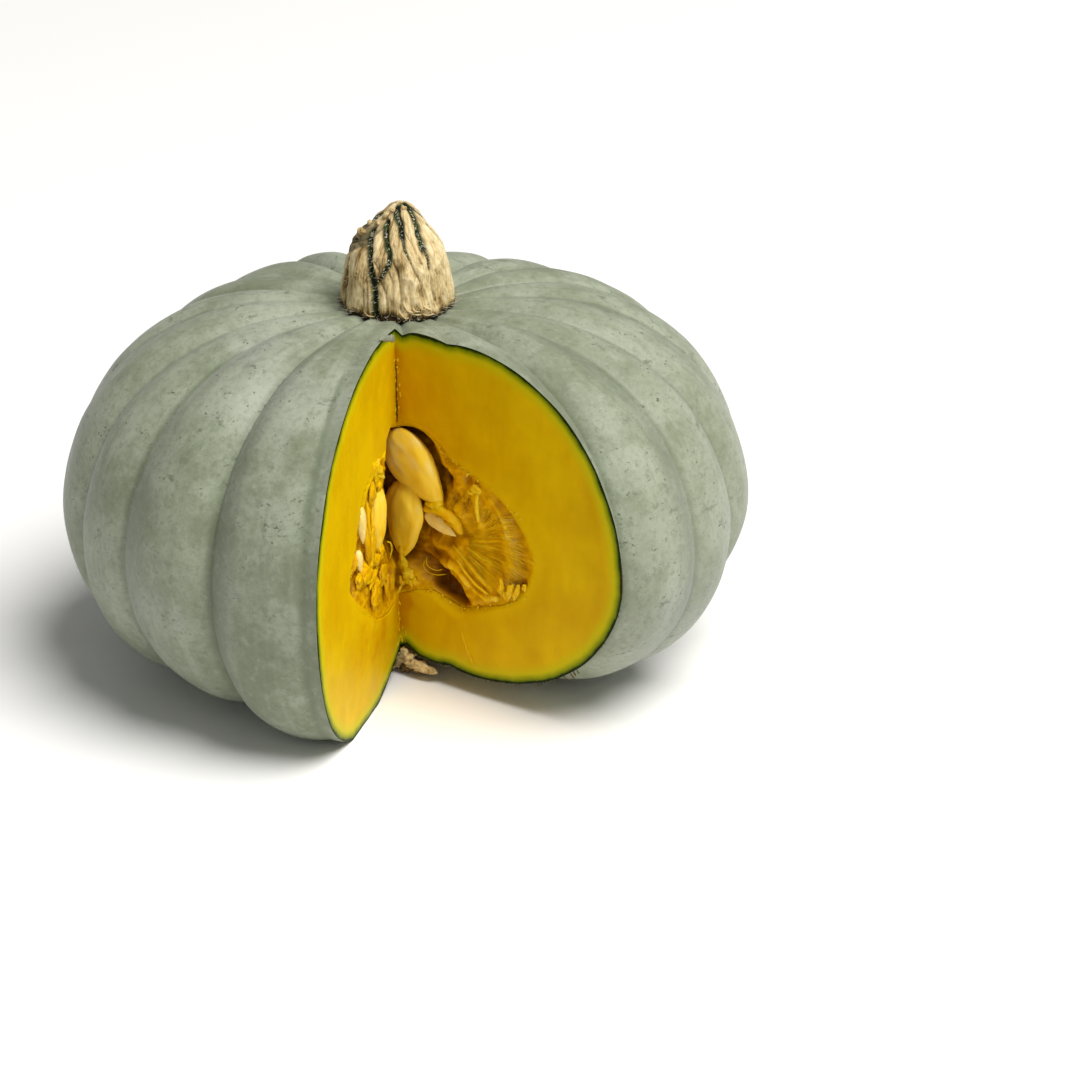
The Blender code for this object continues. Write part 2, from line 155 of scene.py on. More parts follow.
# Along each knife cut away from the apex, and out of the cut into the notch.
LEFT_WAY = direction(CUT_LEFT_AZIMUTH)
RIGHT_WAY = direction(CUT_RIGHT_AZIMUTH)
CUT_WAYS = {
    "left": (LEFT_WAY, Vector((-LEFT_WAY.y, LEFT_WAY.x, 0.0))),
    "right": (RIGHT_WAY, Vector((RIGHT_WAY.y, -RIGHT_WAY.x, 0.0))),
}


def clamp(value, low=0.0, high=1.0):
    return max(low, min(high, value))


def bell(away):
    return math.exp(-away ** 2)


def ripple(spot, *waves):
    # Uneven waves at this spot, each given by how close they come and how high they are.
    return sum(noise.noise(spot * closeness) * height for closeness, height in waves)


def degrees_between(azimuth, start):
    return (azimuth - start + 180.0) % 360.0 - 180.0


def blend_around(values, azimuth):
    # The values at the shape azimuths, blended at this one.
    weights = [bell(math.radians(degrees_between(azimuth, place)) / BLEND_WIDTH) for place in SHAPE_AZIMUTHS]
    return sum(weight * value for weight, value in zip(weights, values)) / sum(weights)


def groove_at(azimuth):
    # The groove's depth here, and the place across the rib from 0 to 1.
    index = min(range(len(GROOVES)), key=lambda place: (azimuth - GROOVES[place][0]) % 360.0)
    start, start_depth = GROOVES[index]
    end, end_depth = GROOVES[(index + 1) % len(GROOVES)]
    share = ((azimuth - start) % 360.0) / ((end - start) % 360.0)
    depth = start_depth if share < 0.5 else end_depth
    return depth * abs(2.0 * share - 1.0) ** GROOVE_SHARPNESS, share


def blossom_end(place, share, side_depth):
    # Level of the underside near the middle, where it sinks into the dish round the scar.
    own = 1.0 - bell(share / UNDERSIDE_MIDDLE_SHARE)
    depth = UNDERSIDE_MIDDLE_DEPTH + (side_depth - UNDERSIDE_MIDDLE_DEPTH) * own
    away = math.hypot(place.x - BLOSSOM_CENTRE[0], place.y - BLOSSOM_CENTRE[1])
    return BLOSSOM_DISH_DEPTH * bell(away / DISH_RADIUS) - depth


class Meridian:
    # One line of the body from the stem to the blossom end.
    def __init__(self, azimuth):
        self.way = direction(azimuth)
        self.reach = blend_around(REACH, azimuth)
        self.depth = blend_around(UNDERSIDE_DEPTH, azimuth)
        self.fullness = blend_around(UNDERSIDE_FULLNESS, azimuth)
        self.groove = groove_at(azimuth)[0]

    def smooth(self, polar):
        # Reach and level of the line, without its groove.
        share = math.sin(polar)
        reach = self.reach * share
        if polar <= math.pi / 2.0:
            rise = max(0.0, 1.0 - share ** CROWN_FULLNESS)
            dish = STEM_DISH_DEPTH * bell(reach / DISH_RADIUS)
            return reach, CROWN_HEIGHT * rise ** CROWN_ROUNDNESS - dish * math.sqrt(rise)
        drop = max(0.0, 1.0 - share ** self.fullness)
        return reach, blossom_end(self.way * reach, share, self.depth) * math.sqrt(drop)

    def place(self, polar):
        # A groove sinks the smooth line straight inwards, and the floor flattens its low spots.
        reach, level = self.smooth(polar)
        upper = self.smooth(max(0.0, polar - SLOPE_STEP))
        lower = self.smooth(min(math.pi, polar + SLOPE_STEP))
        along = Vector((lower[0] - upper[0], lower[1] - upper[1])).normalized()
        depth = self.groove * math.sin(polar) ** GROOVE_FADE
        reach += depth * along.y
        level = max(level - depth * along.x, -WIDEST_LEVEL)
        return self.way * reach + UP * level


def make_ball(columns, rows):
    builder = bmesh.new()
    bmesh.ops.create_uvsphere(builder, u_segments=columns, v_segments=rows, radius=1.0)
    return builder


def new_value(builder, name):
    # A value at each vertex, which the material reads.
    return builder.verts.layers.float.new(name)


def polar_of(vertex):
    # The angle of a ball's vertex from its upper pole.
    return math.acos(clamp(vertex.co.z, -1.0))


def shape_ball(columns, rows, place):
    # A ball whose vertices go to place(column, polar).
    builder = make_ball(columns, rows)
    for vertex in builder.verts:
        row = round(polar_of(vertex) / math.pi * rows)
        turn = math.atan2(vertex.co.y, vertex.co.x) / math.tau
        vertex.co = place(round(turn * columns) % columns, math.pi * row / rows)
    return builder


def face_outwards(builder):
    bmesh.ops.recalc_face_normals(builder, faces=builder.faces[:])
    return builder


def pour(builder, gather):
    # Adds one mesh in the making to another.
    mesh = bpy.data.meshes.new("poured")
    builder.to_mesh(mesh)
    builder.free()
    gather.from_mesh(mesh)
    bpy.data.meshes.remove(mesh)


def on_knife_plane(place, side, from_apex, within=ON_CUT):
    # Whether a place lies on a cut, and further along it than from_apex.
    way, out = CUT_WAYS[side]
    away = place - CUT_APEX
    return abs(away.dot(out)) < within and away.dot(way) > from_apex


def cut_place(side, along, level, out=0.0):
    way, outwards = CUT_WAYS[side]
    return CUT_APEX + way * along + outwards * out + UP * level


def hub_turn(place, side):
    # The angle of a place on a cut about the hub, from straight up to straight down.
    return math.atan2(place.z - HUB_LEVEL, (place - CUT_APEX).dot(CUT_WAYS[side][0]))


def outline_reach(outline, turn):
    # How far a cavity outline lies from the hub at this turn.
    places = [(along, level - HUB_LEVEL) for along, level in outline]
    turns = [(math.atan2(level, along), math.hypot(along, level)) for along, level in places]
    for (upper, upper_reach), (lower, lower_reach) in zip(turns, turns[1:]):
        if upper >= turn >= lower:
            share = (upper - turn) / (upper - lower)
            return upper_reach + (lower_reach - upper_reach) * share
    return turns[-1][1] if turn < 0.0 else turns[0][1]


def drop_wedge(builder):
    # Drops what lies between the two knife planes.
    outs = [CUT_WAYS[side][1] for side in SIDES]
    wedge = []
    for face in builder.faces:
        away = face.calc_center_median() - CUT_APEX
        if min(away.dot(out) for out in outs) > 0.0:
            wedge.append(face)
    bmesh.ops.delete(builder, geom=wedge, context="FACES")


def cut_wedge_out(builder):
    # Cuts the faces near both knife planes in front of the apex, and drops the wedge.
    for side in SIDES:
        front = set()
        for face in builder.faces:
            if on_knife_plane(face.calc_center_median(), side, -KNIFE_PAST_APEX, KNIFE_ASIDE):
                front.update((face, *face.edges, *face.verts))
        bmesh.ops.bisect_plane(
            builder, geom=list(front), dist=KNIFE_SNAP, plane_co=CUT_APEX, plane_no=CUT_WAYS[side][1],
            use_snap_center=True)
    drop_wedge(builder)


def rim_of_cut(builder, side):
    # The open edge along a knife plane, in order from the apex's top to its bottom.
    rim = [vertex for vertex in builder.verts
           if vertex.is_boundary and on_knife_plane(vertex.co, side, -ON_CUT)]
    rim.sort(key=lambda vertex: -hub_turn(vertex.co, side))
    return rim


def chain_edges(builder, rim):
    return [builder.edges.get(pair) for pair in zip(rim, rim[1:])]


def grow_row(builder, edges, side, places):
    # Adds a row of faces beyond these edges, and takes its vertices to the places, top first.
    grown = bmesh.ops.extrude_edge_only(builder, edges=edges)["geom"]
    fresh = [item for item in grown if isinstance(item, bmesh.types.BMVert)]
    fresh.sort(key=lambda vertex: -hub_turn(vertex.co, side))
    for vertex, place in zip(fresh, places):
        vertex.co = place
    faces = [item for item in grown if isinstance(item, bmesh.types.BMFace)]
    return chain_edges(builder, fresh), faces


def build_body():
    columns = COLUMNS_PER_RIB * len(GROOVES)
    meridians = []
    for column in range(columns):
        index, step = divmod(column, COLUMNS_PER_RIB)
        start = GROOVES[index][0]
        span = (GROOVES[(index + 1) % len(GROOVES)][0] - start) % 360.0
        meridians.append(Meridian(start + span * step / COLUMNS_PER_RIB))
    return shape_ball(columns, BODY_ROWS, lambda column, polar: meridians[column].place(polar))


def roughen_skin(builder):
    builder.normal_update()
    shifts = []
    for vertex in builder.verts:
        keep = clamp((vertex.co.z + WIDEST_LEVEL) / SKIN_FADE)
        shifts.append(vertex.normal * (ripple(vertex.co, *SKIN_SWELLS) - SKIN_SINK) * keep)
    for vertex, shift in zip(builder.verts, shifts):
        vertex.co += shift


def cavity_reach(azimuth, turn):
    # The way from the hub on the apex line, and how far the cavity's wall lies that way.
    back = ((azimuth - CUT_RIGHT_AZIMUTH) % 360.0) / (360.0 - WEDGE_ANGLE)
    right = outline_reach(RIGHT_OUTLINE, turn)
    left = outline_reach(LEFT_OUTLINE, turn)
    way = direction(azimuth)
    if back > 1.0:
        share = (360.0 - (azimuth - CUT_RIGHT_AZIMUTH) % 360.0) / WEDGE_ANGLE
        reach = left * share + right * (1.0 - share)
    else:
        far = CAVITY_BACK_REACH * (1.0 + CAVITY_BACK_WIDENING * max(0.0, way.y))
        upright = (math.sin(turn) / CAVITY_BACK_HALF_HEIGHT) ** CAVITY_SQUARENESS
        level = (math.cos(turn) / far) ** CAVITY_SQUARENESS
        wall = 1.0 / (level + upright) ** (1.0 / CAVITY_SQUARENESS)
        near_right = bell(back / CAVITY_BLEND)
        near_left = bell((1.0 - back) / CAVITY_BLEND)
        reach = wall * (1.0 - near_right - near_left) + near_right * right + near_left * left
    return way * math.cos(turn) + UP * math.sin(turn), reach


def build_hollow(wedge_columns, back_columns, rows, gap=0.0):
    # A ball about the hub, open at the notch, whose edges at the two knife planes have the
    # cavity's outlines, less a gap.
    def place(column, polar):
        if column <= wedge_columns:
            azimuth = CUT_LEFT_AZIMUTH + WEDGE_ANGLE * column / wedge_columns
        else:
            azimuth = CUT_RIGHT_AZIMUTH + (360.0 - WEDGE_ANGLE) * (column - wedge_columns) / back_columns
        way, reach = cavity_reach(azimuth, math.pi / 2.0 - polar)
        return HUB + way * (reach - gap)

    builder = shape_ball(wedge_columns + back_columns, rows, place)
    drop_wedge(builder)
    return builder


def roll_at(side, turn):
    # Depth and width of the rolled edge at this turn about the hub.
    rows = RIM_ROLLS[side]
    degrees = clamp(math.degrees(turn), -90.0, 90.0)
    for (upper, depth, width), (lower, next_depth, next_width) in zip(rows, rows[1:]):
        if upper >= degrees >= lower:
            share = (upper - degrees) / (upper - lower)
            return depth + (next_depth - depth) * share, width + (next_width - width) * share
    return rows[-1][1:]


def sink_rim(vertices):
    # The edge of a ball about the hub sinks below both cuts, and less and less further inwards.
    for vertex in vertices:
        shift = Vector()
        away = vertex.co - CUT_APEX
        for side in SIDES:
            way, out = CUT_WAYS[side]
            behind = -away.dot(out)
            along = away.dot(way)
            if behind < LINING_REACH and along > AT_APEX:
                depth = roll_at(side, hub_turn(vertex.co, side))[0] * min(1.0, along / APEX_FADE)
                shift -= out * (depth * math.exp(-max(0.0, behind) / ROLL_REACH_INWARDS))
        vertex.co += shift


def flesh_spot(side, along, level):
    return Vector((along, level, 3.0 if side == "left" else 7.0))


def flesh_relief(side, along, level):
    # The knife left the flesh nearly flat, with slow waves and short tears.
    return ripple(flesh_spot(side, along, level), (45.0, 0.00035), (160.0, 0.00014))


def flesh_stain(side, along, level):
    # Darker orange streaks of torn flesh below the cavity, darker flesh along the apex line, and paler round
    # it.
    spot = flesh_spot(side, along, level)
    if side == "left":
        wave = noise.noise(Vector((along * 130.0, level * 60.0, 2.0))) + ripple(spot, (300.0, 0.5))
        below = bell((along - 0.030) / 0.024) * bell((level + 0.034) / 0.013)
        apex = bell(along / 0.006)
        return below * (0.38 + 0.7 * wave) + apex * (0.35 + 0.5 * wave)
    wave = ripple(spot, (120.0, 1.0), (380.0, 0.5))
    apex = bell(along / 0.0045) * (1.0 if level < 0.0 else 0.55)
    upper = bell((along - 0.012) / 0.016) * bell((level - 0.052) / 0.022)
    pit = bell((along - 0.0035) / 0.0028) * bell((level + 0.033) / 0.0022)
    return apex * (0.75 + 0.5 * wave) + upper * 0.40 + pit * 0.8 + ripple(spot, (60.0, 0.10))


def lay_cut_face(builder, side, rim, hollow_rim):
    # Grows the flesh from the rind to just short of the cavity, then joins it to the cavity's edge.
    hollow = []
    for vertex in hollow_rim:
        away = vertex.co - CUT_APEX
        hollow.append((hub_turn(vertex.co, side), away.dot(CUT_WAYS[side][0]), vertex.co.z - HUB_LEVEL))
    ends = []
    for turn in [hub_turn(vertex.co, side) for vertex in rim]:
        reach = math.hypot(*hollow[0 if turn > 0.0 else -1][1:])
        for (upper, *first), (lower, *second) in zip(hollow, hollow[1:]):
            if upper >= turn >= lower:
                share = (upper - turn) / max(1e-9, upper - lower)
                reach = math.hypot(*(start + (end - start) * share for start, end in zip(first, second)))
        reach += FLESH_GAP
        ends.append(cut_place(side, math.cos(turn) * reach, HUB_LEVEL + math.sin(turn) * reach))
    starts = [vertex.co.copy() for vertex in rim]
    edges = chain_edges(builder, rim)
    flesh = []
    for layer in range(1, FLESH_LAYERS + 1):
        share = 0.5 - 0.5 * math.cos(math.pi * layer / FLESH_LAYERS)
        places = [start.lerp(end, share) for start, end in zip(starts, ends)]
        edges, faces = grow_row(builder, edges, side, places)
        flesh += faces
    flesh += bmesh.ops.bridge_loops(builder, edges=edges + chain_edges(builder, hollow_rim))["faces"]
    for face in flesh:
        face.material_index = 1


def vertices_of(builder, material_index):
    faces = [face for face in builder.faces if face.material_index == material_index]
    return {vertex for face in faces for vertex in face.verts}


def store_depths(builder, rims):
    # How far each vertex of the flesh lies under the rind and from the cavity, and its stain.
    rind_depth = new_value(builder, "rind_depth")
    cavity_depth = new_value(builder, "cavity_depth")
    stain = new_value(builder, "stain")
    flesh = vertices_of(builder, 1)
    for side, (rind, hollow) in rims.items():
        for vertex in flesh:
            if on_knife_plane(vertex.co, side, -FLESH_REACH, FLESH_REACH):
                along = (vertex.co - CUT_APEX).dot(CUT_WAYS[side][0])
                vertex[rind_depth] = min((vertex.co - place).length for place in rind)
                vertex[cavity_depth] = min((vertex.co - place).length for place in hollow)
                vertex[stain] = flesh_stain(side, along, vertex.co.z)


def store_growth(builder):
    # The way the skin grew, round the stem and down from it, where its grooves are, and where shade is
    # painted on the flanks of its ribs.
    growth = builder.verts.layers.float_vector.new("growth")
    crease = new_value(builder, "crease")
    flank_shade = new_value(builder, "flank_shade")
    for vertex in builder.verts:
        azimuth = math.atan2(vertex.co.x, -vertex.co.y)
        flat = math.hypot(vertex.co.x, vertex.co.y)
        polar = math.atan2(flat, vertex.co.z)
        vertex[growth] = Vector((math.cos(azimuth), math.sin(azimuth), polar / math.pi))
        share = groove_at(math.degrees(azimuth))[1]
        clear = clamp((flat - UNCREASED_RADIUS) / CREASE_FADE)
        vertex[crease] = abs(2.0 * share - 1.0) * clear
        vertex[flank_shade] = bell((share - SHADED_FLANKS[vertex.co.x >= 0.0]) / FLANK_WIDTH) * clear


def tear_flesh(builder, lining):
    # Waves in the two cut faces, which roll down to the pulp at the cavity's edge.
    cavity_depth = builder.verts.layers.float["cavity_depth"]
    for vertex in vertices_of(builder, 1) - lining - vertices_of(builder, 0):
        for side in SIDES:
            if on_knife_plane(vertex.co, side, AT_APEX):
                way, out = CUT_WAYS[side]
                along = (vertex.co - CUT_APEX).dot(way)
                depth, width = roll_at(side, hub_turn(vertex.co, side))
                roll = depth * max(0.0, 1.0 - vertex[cavity_depth] / width) ** 2
                relief = flesh_relief(side, along, vertex.co.z)
                vertex.co += out * min(1.0, along / APEX_FADE) * (relief - roll)


def build_fruit():
    builder = build_body()
    roughen_skin(builder)
    cut_wedge_out(builder)
    skin_rims = {side: rim_of_cut(builder, side) for side in SIDES}
    known = set(builder.verts)
    cavity = build_hollow(CAVITY_WEDGE_COLUMNS, CAVITY_BACK_COLUMNS, CAVITY_ROWS)
    for face in cavity.faces:
        face.material_index = 2
    pour(cavity, builder)
    hollow_rims = {}
    rim_places = {}
    for side in SIDES:
        hollow_rims[side] = [vertex for vertex in rim_of_cut(builder, side) if vertex not in known]
        rim_places[side] = [
            [vertex.co.copy() for vertex in rim] for rim in (skin_rims[side], hollow_rims[side])]
    for side in SIDES:
        lay_cut_face(builder, side, skin_rims[side], hollow_rims[side])
    apex = [vertex for vertex in vertices_of(builder, 1) if (vertex.co - CUT_APEX).xy.length < ON_CUT]
    bmesh.ops.remove_doubles(builder, verts=apex, dist=SAME_PLACE)
    store_depths(builder, rim_places)
    lining = vertices_of(builder, 2)
    tear_flesh(builder, lining)
    sink_rim(lining)
    store_growth(builder)
    bmesh.ops.translate(builder, verts=builder.verts[:], vec=MIDDLE)
    return face_outwards(builder)


def tint(red, green, blue):
    # A colour given as it is seen, from 0 to 255, as the shader needs it.
    linear = [(value / 255.0) ** 2.2 for value in (red, green, blue)]
    return (*linear, 1.0)


class Finish:
    # A material and short ways to add its nodes.
    def __init__(self, name, roughness, colour=(255, 255, 255)):
        self.material = bpy.data.materials.new(name)
        self.material.use_nodes = True
        self.nodes = self.material.node_tree.nodes
        self.links = self.material.node_tree.links
        self.shader = self.nodes["Principled BSDF"].inputs
        self.settle({"Roughness": roughness, "Base Color": tint(*colour)})
        self.place = self.nodes.new("ShaderNodeTexCoord").outputs["Object"]

    def settle(self, values):
        for name, value in values.items():
            self.shader[name].default_value = value

    def soften(self, weight, radius):
        # Light goes into wet flesh and comes out nearby.
        self.settle({"Subsurface Weight": weight, "Subsurface Radius": radius, "Subsurface Scale": 1.0})

    def add(self, kind, output, values, **settings):
        # Adds a node. Each of its inputs takes a number, a colour or another node's output.
        node = self.nodes.new("ShaderNode" + kind)
        for name, setting in settings.items():
            setattr(node, name, setting)
        for name, value in values.items():
            if hasattr(value, "is_output"):
                self.links.new(value, node.inputs[name])
            else:
                node.inputs[name].default_value = value
        return node.outputs[output]

    def attribute(self, name, output="Fac"):
        return self.add("Attribute", output, {}, attribute_name=name)

    def speckle(self, scale, detail=3.0, roughness=0.55, place=None, stretch=None):
        place = place or self.place
        if stretch:
            place = self.add("Mapping", "Vector", {"Scale": stretch, "Vector": place})
        values = {"Vector": place, "Scale": scale, "Detail": detail, "Roughness": roughness}
        return self.add("TexNoise", "Fac", values)

    def span(self, value, low, high, least=0.0, most=1.0):
        values = {"Value": value, "From Min": low, "From Max": high, "To Min": least, "To Max": most}
        return self.add("MapRange", "Result", values, interpolation_type="SMOOTHSTEP")

    def patches(self, scale, detail, roughness, low, high, least=0.0, most=1.0, **where):
        # Patches that go from least to most where a speckle goes from low to high.
        return self.span(self.speckle(scale, detail, roughness, **where), low, high, least, most)

    def sum(self, operation, first, second):
        return self.add("Math", 0, {0: first, 1: second}, operation=operation)

    def times(self, first, second):
        return self.sum("MULTIPLY", first, second)

    def vary(self, value, share, *speckle):
        # The value, more or less by half the share.
        return self.sum("ADD", value, self.times(self.sum("SUBTRACT", self.speckle(*speckle), 0.5), share))

    def mix(self, share, first, second):
        # Sockets 0, 6, 7 and 2 are the share, the two colours and the mixed one.
        return self.add("Mix", 2, {0: share, 6: first, 7: second}, data_type="RGBA")

    def ramp(self, value, *stops):
        # A colour for each value, from stops of a value and a colour.
        colour = self.add("ValToRGB", "Color", {"Fac": value})
        elements = colour.node.color_ramp.elements
        for element, (position, seen) in zip(elements, (stops[0], stops[-1])):
            element.position = position
            element.color = tint(*seen)
        for position, seen in stops[1:-1]:
            elements.new(position).color = tint(*seen)
        return colour

    def coat(self, value):
        self.links.new(value, self.shader["Base Color"])

    def lay(self, share, *colour):
        # Lays one more colour over those that the surface has.
        base = self.shader["Base Color"]
        under = base.links[0].from_socket if base.is_linked else base.default_value[:]
        self.coat(self.mix(share, under, tint(*colour)))

    def bump(self, height, strength, distance):
        values = {"Strength": strength, "Distance": distance, "Height": height}
        before = self.shader["Normal"]
        if before.is_linked:
            values["Normal"] = before.links[0].from_socket
        self.links.new(self.add("Bump", "Normal", values), before)


def make_skin_finish():
    finish = Finish("grey_green_rind", 0.50, (122, 130, 104))
    growth = finish.attribute("growth", "Vector")
    drift = finish.patches(9.0, 3.0, 0.6, 0.36, 0.64)
    finish.lay(finish.patches(30.0, 6.0, 0.68, 0.36, 0.64), 162, 169, 148)
    finish.lay(finish.times(drift, 0.40), 150, 157, 134)
    streaks = finish.speckle(6.0, 5.0, 0.66, growth, (2.6, 2.6, 0.9))
    finish.lay(finish.span(streaks, 0.50, 0.72, 0.0, 0.34), 174, 180, 164)
    dull = finish.speckle(9.0, 5.0, 0.66, growth, (2.0, 2.0, 1.6))
    finish.lay(finish.span(dull, 0.52, 0.70, 0.0, 0.40), 118, 128, 102)
    haze = finish.patches(14.0, 3.0, 0.6, 0.52, 0.70, 0.0, 0.30)
    finish.lay(haze, 166, 168, 164)
    finish.lay(finish.span(finish.attribute("crease"), 0.84, 1.0, 0.0, 0.50), 98, 108, 82)
    # painted shade on one flank of each rib beside its groove, stronger in patches
    flank_shade = finish.times(finish.attribute("flank_shade"), finish.span(drift, 0.0, 1.0, 0.30, 0.62))
    finish.lay(flank_shade, 112, 118, 100)
    grain = finish.patches(420.0, 5.0, 0.72, 0.46, 0.68, 0.0, 0.34)
    finish.lay(grain, 98, 106, 84)
    pale = finish.patches(300.0, 4.0, 0.7, 0.52, 0.72, 0.0, 0.24)
    finish.lay(pale, 182, 188, 172)
    patch = finish.patches(30.0, 3.0, 0.6, 0.46, 0.58, 0.12, 1.0)
    dots = finish.patches(600.0, 2.0, 0.5, 0.60, 0.68, stretch=(1.0, 1.0, 1.5))
    chosen = finish.patches(230.0, 2.0, 0.55, 0.52, 0.60)
    dots = finish.times(finish.times(dots, chosen), patch)
    finish.lay(finish.times(dots, 0.75), 64, 70, 52)
    scuffs = finish.patches(120.0, 5.0, 0.7, 0.57, 0.68, 0.0, 0.60, stretch=(1.0, 1.0, 1.8))
    finish.lay(finish.times(scuffs, patch), 84, 92, 70)
    finish.bump(finish.speckle(80.0, 5.0, 0.6), 0.32, 0.0016)
    finish.bump(finish.speckle(600.0, 3.0, 0.6), 0.22, 0.0002)
    finish.bump(dots, -0.6, 0.0003)
    finish.links.new(finish.patches(60.0, 3.0, 0.55, 0.3, 0.7, 0.42, 0.60), finish.shader["Roughness"])
    finish.settle({
        "Specular IOR Level": 0.35, "Sheen Weight": 0.10, "Sheen Roughness": 0.55,
        "Sheen Tint": tint(226, 222, 238),
    })
    return finish.material


def make_flesh_finish():
    finish = Finish("golden_flesh", 0.42, (209, 168, 2))
    depth = finish.vary(finish.attribute("rind_depth"), 0.0016, 160.0, 3.0)
    finish.lay(finish.patches(40.0, 4.0, 0.6, 0.32, 0.70), 223, 185, 4)
    fibres = finish.patches(120.0, 4.0, 0.6, 0.45, 0.75, 0.0, 0.35, stretch=(1.0, 1.0, 0.25))
    finish.lay(fibres, 201, 153, 2)
    strokes = finish.speckle(26.0, 5.0, 0.62, stretch=(1.0, 1.0, 0.45))
    finish.lay(finish.span(strokes, 0.46, 0.66, 0.0, 0.50), 196, 146, 2)
    finish.lay(finish.span(strokes, 0.30, 0.44, 0.40, 0.0), 230, 196, 10)
    # a lighter ring round the cavity, the stains, and the green rim and dark line under the rind
    finish.lay(finish.span(finish.attribute("cavity_depth"), 0.0008, 0.0060, 0.45, 0.0), 226, 190, 12)
    stain = finish.span(finish.attribute("stain"), 0.02, 0.75)
    finish.lay(finish.times(stain, 0.70), 192, 126, 2)
    finish.lay(finish.span(depth, 0.0022, 0.0080, 1.0, 0.0), 200, 190, 22)
    finish.lay(finish.span(depth, 0.0008, 0.0040, 1.0, 0.0), 104, 122, 14)
    finish.lay(finish.span(depth, 0.0005, 0.0015, 1.0, 0.0), 30, 42, 12)
    finish.bump(finish.speckle(520.0, 4.0, 0.65), 0.25, 0.0004)
    finish.bump(finish.speckle(130.0, 3.0, 0.5, stretch=(1.0, 1.0, 0.4)), 0.25, 0.0008)
    finish.settle({"Specular IOR Level": 0.06})
    finish.soften(0.12, (0.004, 0.002, 0.0006))
    return finish.material


def make_lining_finish():
    finish = Finish("cavity_lining", 0.40, (196, 142, 4))
    finish.lay(finish.patches(90.0, 4.0, 0.6, 0.35, 0.66), 220, 168, 8)
    finish.bump(finish.speckle(260.0, 4.0, 0.6), 0.5, 0.0010)
    return finish.material


def finish_mesh(name, builder, *materials):
    mesh = bpy.data.meshes.new(name)
    builder.to_mesh(mesh)
    builder.free()
    mesh.shade_smooth()
    for material in materials:
        mesh.materials.append(material)
    item = bpy.data.objects.new(name, mesh)
    bpy.context.scene.collection.objects.link(item)
    return item


rind_material = make_skin_finish()
fruit = finish_mesh(
    "fruit_flesh_and_rind", build_fruit(), rind_material, make_flesh_finish(), make_lining_finish())
fruit.data.set_sharp_from_angle(angle=math.radians(50.0))
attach(fruit, "root")
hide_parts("fruit")

# Pulp. Wet orange pulp grew through the seed cavity in webs, strings and skins that hold the
# seeds, and the knife tore it open at both cuts.
MILLIMETRE = 0.001
PULP_GAP = 0.0001
PULP_ROWS = 280
PULP_LAYERS = 84
PULP_WEDGE_COLUMNS = 4
PULP_BACK_COLUMNS = 36
PULP_SETBACK = 0.9
PULP_REST_TONE = 0.42
# The edge of the torn surface, and how far from the apex line its two halves share their shape,
# in millimetres.
PULP_EDGE_WIDTH = 1.6
PULP_EDGE_TONE = 0.52
PULP_SHARED_WIDTH = 5.0
PULP_CREASE_WIDTH = 0.02
# The fan of fibres on the right cut: its centre, how far it starts from there, and in radians its
# middle and how far it spreads to each side.
FAN_CENTRE = (22.0, -5.0)
FAN_START = 6.0
FAN_TURN = 0.08
FAN_SPREAD = 0.85
# Hollows and mounds of the torn pulp on the right cut, in millimetres and degrees: along, level, half length,
# half width, lean, sharpness of the edge, push out of the cut and change of tone. The darker tones of the
# hollows are partly the pulp's own brown and partly painted shade.
RIGHT_RELIEF = (
    (4.6, 23.5, 17.0, 11.0, -47, 7, -7.0, -0.20),
    (6.0, 35.0, 8.0, 3.6, -18, 4, -2.0, -0.30),
    (1.5, 2.0, 9.5, 14.5, 0, 6, -7.0, -0.14),
    (20.3, 19.0, 1.7, 5.0, 8, 4, -2.6, -0.30),
    (31.0, 22.3, 1.8, 2.0, 0, 4, -2.0, -0.24),
    (11.6, 8.4, 2.4, 2.4, 0, 4, -3.0, -0.32),
    (17.5, -2.8, 7.0, 3.4, -10, 5, -3.4, -0.12),
    (11.0, -9.5, 4.0, 2.6, -20, 4, -2.4, -0.16),
    (17.5, -11.5, 5.0, 2.4, 10, 4, -2.6, -0.12),
    (2.4, -13.0, 3.0, 3.2, 0, 4, -4.5, -0.36),
    (19.2, -22.0, 12.8, 4.7, -33, 8, -5.6, -0.52),
    (11.0, -18.5, 5.0, 4.0, -20, 4, -1.6, 0.10),
    (26.5, 14.5, 7.0, 7.0, 20, 4, -1.6, 0.0),
    (34.6, 12.0, 1.5, 8.0, 4, 4, 1.5, 0.16),
    (31.0, 17.0, 5.0, 1.6, -25, 4, 0.9, 0.08),
    (24.0, 8.5, 5.0, 2.0, 15, 4, 0.9, 0.12),
    (35.0, -4.0, 12.5, 13.5, 0, 6, -2.6, 0.04),
    (28.0, -1.0, 2.6, 1.8, 0, 4, -1.2, -0.16),
    (48.6, -0.5, 2.7, 11.5, 4, 4, 0.6, 0.16),
    (55.0, -2.0, 3.2, 12.5, 8, 4, -0.6, -0.10),
    (49.0, 15.5, 8.0, 2.4, -42, 4, -1.0, -0.12),
    (54.5, -13.0, 3.0, 2.0, 20, 4, -1.8, -0.22),
)
